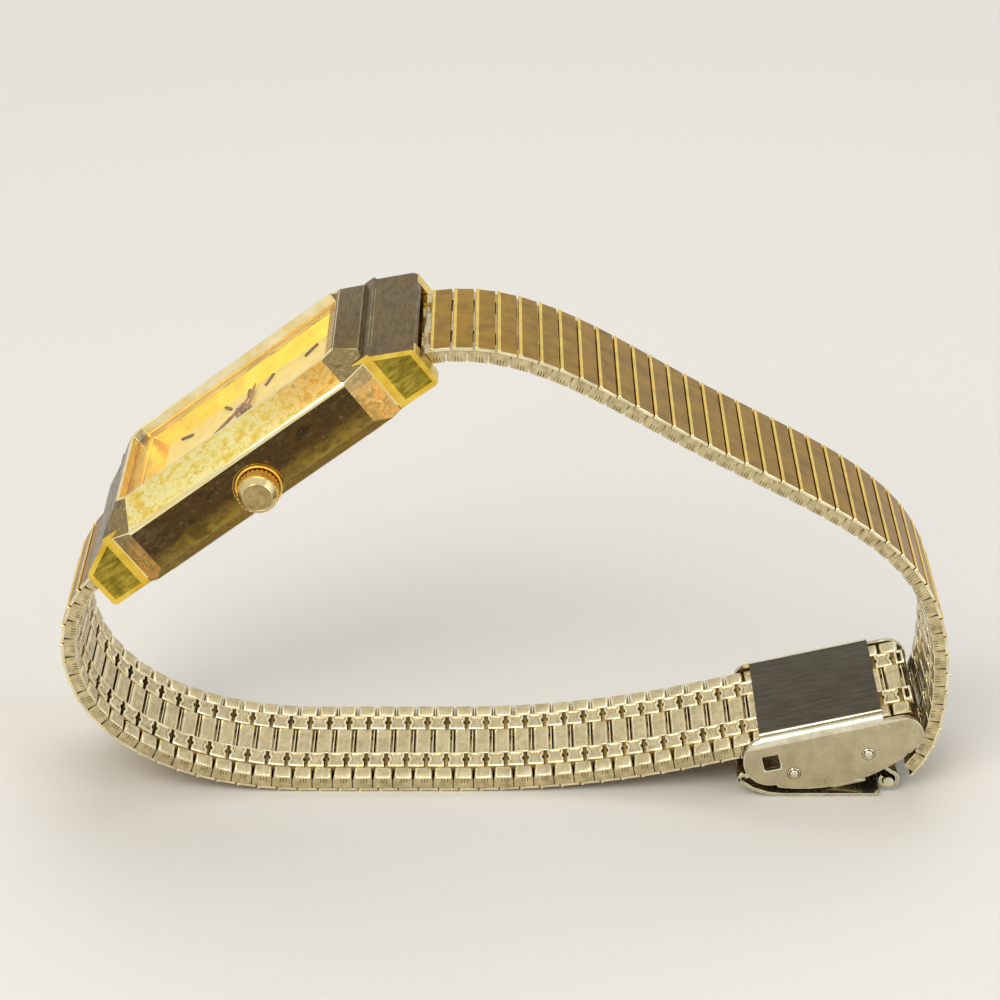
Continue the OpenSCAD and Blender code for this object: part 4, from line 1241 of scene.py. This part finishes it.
class WATCH_OT_hook_and_lid(bpy.types.Operator):
    """Make the lock flap, the S-shaped hook and the lid with its curled lip from bent sheet."""

    bl_idname = "watch.hook_and_lid"
    bl_label = "Hook, Flap and Lid"

    def execute(self, context):
        sheet = context.scene.watch_clasp.sheet / MM
        sheets = ["clasp_sheet_steel", "clasp_polish_and_highlight"]
        bm = bmesh.new()
        path = arc(*LEFT_BAR, 0.75, 20, 290)
        path += [Vector((0.5, -5.9)), *arc(0.95, -5.75, 0.42, 215, 268), Vector((4.1, -6.08))]
        add_strip(bm, path, sheet * 0.8, -FLAP_HALF, FLAP_HALF)
        finish_piece("bent_lock_flap", bm, CLASP, sheets, "flap", "lock_flap")
        # The hook's eye and arm, its open mouth, and two curls round the lid pin
        bm = bmesh.new()
        mouth = arc(*HOOK_TURN, 0.96, 80, 235)
        add_strip(bm, arc(*RIGHT_BAR, 0.78, 220, -70) + [mouth[4]], sheet, -HOOK_HALF, HOOK_HALF)
        add_strip(bm, mouth, sheet, -HOOK_HALF, HOOK_HALF)
        for y in (-HOOK_HALF, HOOK_HALF - 3.55):
            curl = arc(*LID_PIN, 0.97, 62, -230, 0.76)
            add_strip(bm, mouth[-2:] + curl, sheet, y, y + 3.55)
        finish_piece("s_hook", bm, CLASP, sheets, "hook", "clasp_hook")
        # The lid in a frame at its pin: flat, a long bend, a curled lip, and one knuckle
        bm = bmesh.new()
        low = LID_LOW - LID_PIN_Z + sheet / 2
        path = [Vector((-0.9, low)), Vector((-4.0, low))]
        path += arc(LID_BEND_X, low + LID_BEND_R, LID_BEND_R, 270, 231)
        lip = path[-1] - LIP_R * heading(231)
        add_strip(bm, path + arc(*lip, LIP_R, 225, 10), sheet, -CLASP_HALF, CLASP_HALF)
        knuckle = [Vector((-1.6, low + 0.04)), Vector((-0.5, low + 0.04))]
        add_strip(bm, knuckle + arc(0, 0, 0.94, -80, 200), sheet, -3.1, 3.1)
        place = placed(*clasp_point(*LID_PIN), 0)
        finish_piece("curled_lid", bm, place, sheets, "lid", "clasp_lid")
        dress("clasp_polish_and_highlight", "lid_pin")
        return {"FINISHED"}


# Stage

# The camera: how far it looks down, what at, from how far, and its focal length in pixels
ELEVATION = 27.0
TARGET = Vector((-0.6, 1.275, 29.19)) * MM
DISTANCE = 300.0 * MM
FOCAL_PX = 3066.0
FRAME_PX = 1000.0
SENSOR = 36.0
# The surroundings: their colour, how strong they look, and how strongly they light the watch
PALE = "#F2F1EE"
PALE_STRENGTH = 0.92
WORLD_LIGHT = 0.5
# The floor's half width, and where it turns into the surroundings, in metres
FLOOR_HALF = 3.0
FADE = (0.24, 0.5)
# Soft lamps: place, power, size and colour
LAMPS = {
    "key_lamp": ((-0.28, -0.42, 0.5), 2.6, 0.45, "#FFF8EC"),
    "fill_lamp": ((0.5, -0.25, 0.35), 0.9, 0.5, "#F2F6FF"),
    "top_lamp": ((0.05, 0.3, 0.65), 1.6, 0.5, "#FFFFFF"),
}


def shown_rays(tree):
    """One where the camera, gloss or glass sees a surface, nothing where it only lights others."""
    rays = add_node(tree, "LightPath", out="Is Camera Ray")
    for kind in ("Is Glossy Ray", "Is Transmission Ray"):
        other = add_node(tree, "LightPath", out=kind)
        rays = add_node(tree, "Math", {0: rays, 1: other}, operation="ADD", use_clamp=True)
    return rays


def fade_far(tree):
    """Away from the watch the floor turns into the pale colour of the surroundings."""
    lit = tree.nodes["Principled BSDF"].outputs["BSDF"]
    at = add_node(tree, "TexCoord", out="Object")
    far = add_node(tree, "VectorMath", {0: at}, "Value", operation="LENGTH")
    levels = {"Value": far, "From Min": FADE[0], "From Max": FADE[1]}
    share = add_node(tree, "MapRange", levels, interpolation_type="SMOOTHSTEP")
    share = add_node(tree, "Math", {0: share, 1: shown_rays(tree)}, operation="MULTIPLY")
    look = {"Color": linear(PALE), "Strength": PALE_STRENGTH}
    pale = add_node(tree, "Emission", look, "Emission")
    mixed = add_node(tree, "MixShader", {0: share, 1: lit, 2: pale}, "Shader")
    join_up(tree, tree.nodes["Material Output"], {"Surface": mixed})


def aimed(name, data, at):
    """Stands a lamp or the camera at a place, looking at the watch."""
    holder = bpy.data.objects.new(name, data)
    holder.location = at
    holder.rotation_mode = "QUATERNION"
    holder.rotation_quaternion = (TARGET - Vector(at)).to_track_quat("-Z", "Y")
    bpy.context.scene.collection.objects.link(holder)
    return holder


class WATCH_OT_studio(bpy.types.Operator):
    """Make the pale floor, the soft lamps, the pale surroundings and the camera."""

    bl_idname = "watch.studio"
    bl_label = "Studio"

    def execute(self, context):
        scene = context.scene
        bm = bmesh.new()
        bmesh.ops.create_grid(bm, x_segments=8, y_segments=8, size=FLOOR_HALF)
        mesh = bpy.data.meshes.new("pale_floor")
        bm.to_mesh(mesh)
        bm.free()
        mesh.materials.append(FINISHES["pale_matt_paper"])
        fade_far(FINISHES["pale_matt_paper"].node_tree)
        floor = bpy.data.objects.new("pale_floor", mesh)
        scene.collection.objects.link(floor)
        for name, (at, power, size, colour) in LAMPS.items():
            lamp = bpy.data.lights.new(name, "AREA")
            lamp.energy = power
            lamp.size = size
            lamp.color = linear(colour)[:3]
            aimed(name, lamp, at)
        world = bpy.data.worlds.new("pale_surroundings")
        scene.world = world
        world.use_nodes = True
        tree = world.node_tree
        background = tree.nodes["Background"]
        background.inputs["Color"].default_value = linear(PALE)
        light = {0: shown_rays(tree), 1: PALE_STRENGTH - WORLD_LIGHT, 2: WORLD_LIGHT}
        strength = add_node(tree, "Math", light, operation="MULTIPLY_ADD")
        join_up(tree, background, {"Strength": strength})
        camera = bpy.data.cameras.new("studio_camera")
        camera.sensor_width = SENSOR
        camera.lens = SENSOR * FOCAL_PX / FRAME_PX
        camera.clip_start = 0.01
        camera.clip_end = 20.0
        lift = math.radians(ELEVATION)
        back = Vector((0, -math.cos(lift), math.sin(lift)))
        scene.camera = aimed("studio_camera", camera, TARGET + back * DISTANCE)
        scene.view_settings.view_transform = "Standard"
        return {"FINISHED"}


class WATCH_PT_build(bpy.types.Panel):
    """Lists the pieces of the watch and the sizes and colours that may be changed."""

    bl_idname = "WATCH_PT_build"
    bl_label = "Link-Strap Watch"
    bl_space_type = "VIEW_3D"
    bl_region_type = "UI"
    bl_category = "Watch"

    def draw(self, context):
        column = self.layout.column()
        for group in GROUPS:
            settings = getattr(context.scene, group)
            for name in settings.__annotations__:
                column.prop(settings, name)
        for operator in OPERATORS:
            column.operator(operator.bl_idname)


OPERATORS = (
    WATCH_OT_case,
    WATCH_OT_dial,
    WATCH_OT_hands,
    WATCH_OT_crown,
    WATCH_OT_movement,
    WATCH_OT_strap,
    WATCH_OT_clasp,
    WATCH_OT_hook_and_lid,
    WATCH_OT_studio,
)
GROUPS = {
    "watch_case": WatchCaseSizes,
    "watch_strap": WatchStrapSizes,
    "watch_clasp": WatchClaspSizes,
    "watch_finishes": WatchFinishes,
}


def register():
    for name, group in GROUPS.items():
        bpy.utils.register_class(group)
        setattr(bpy.types.Scene, name, bpy.props.PointerProperty(type=group))
    for kind in (*OPERATORS, WATCH_PT_build):
        bpy.utils.register_class(kind)


def unregister():
    for kind in (WATCH_PT_build, *reversed(OPERATORS)):
        bpy.utils.unregister_class(kind)
    for name, group in reversed(GROUPS.items()):
        delattr(bpy.types.Scene, name)
        bpy.utils.unregister_class(group)


def main():
    register()
    make_finishes(bpy.context.scene.watch_finishes)
    bpy.ops.watch.case()
    bpy.ops.watch.dial()
    bpy.ops.watch.hands()
    bpy.ops.watch.crown()
    bpy.ops.watch.movement()
    bpy.ops.watch.strap()
    bpy.ops.watch.clasp()
    bpy.ops.watch.hook_and_lid()
    bpy.ops.watch.studio()


if __name__ == "__main__":
    main()
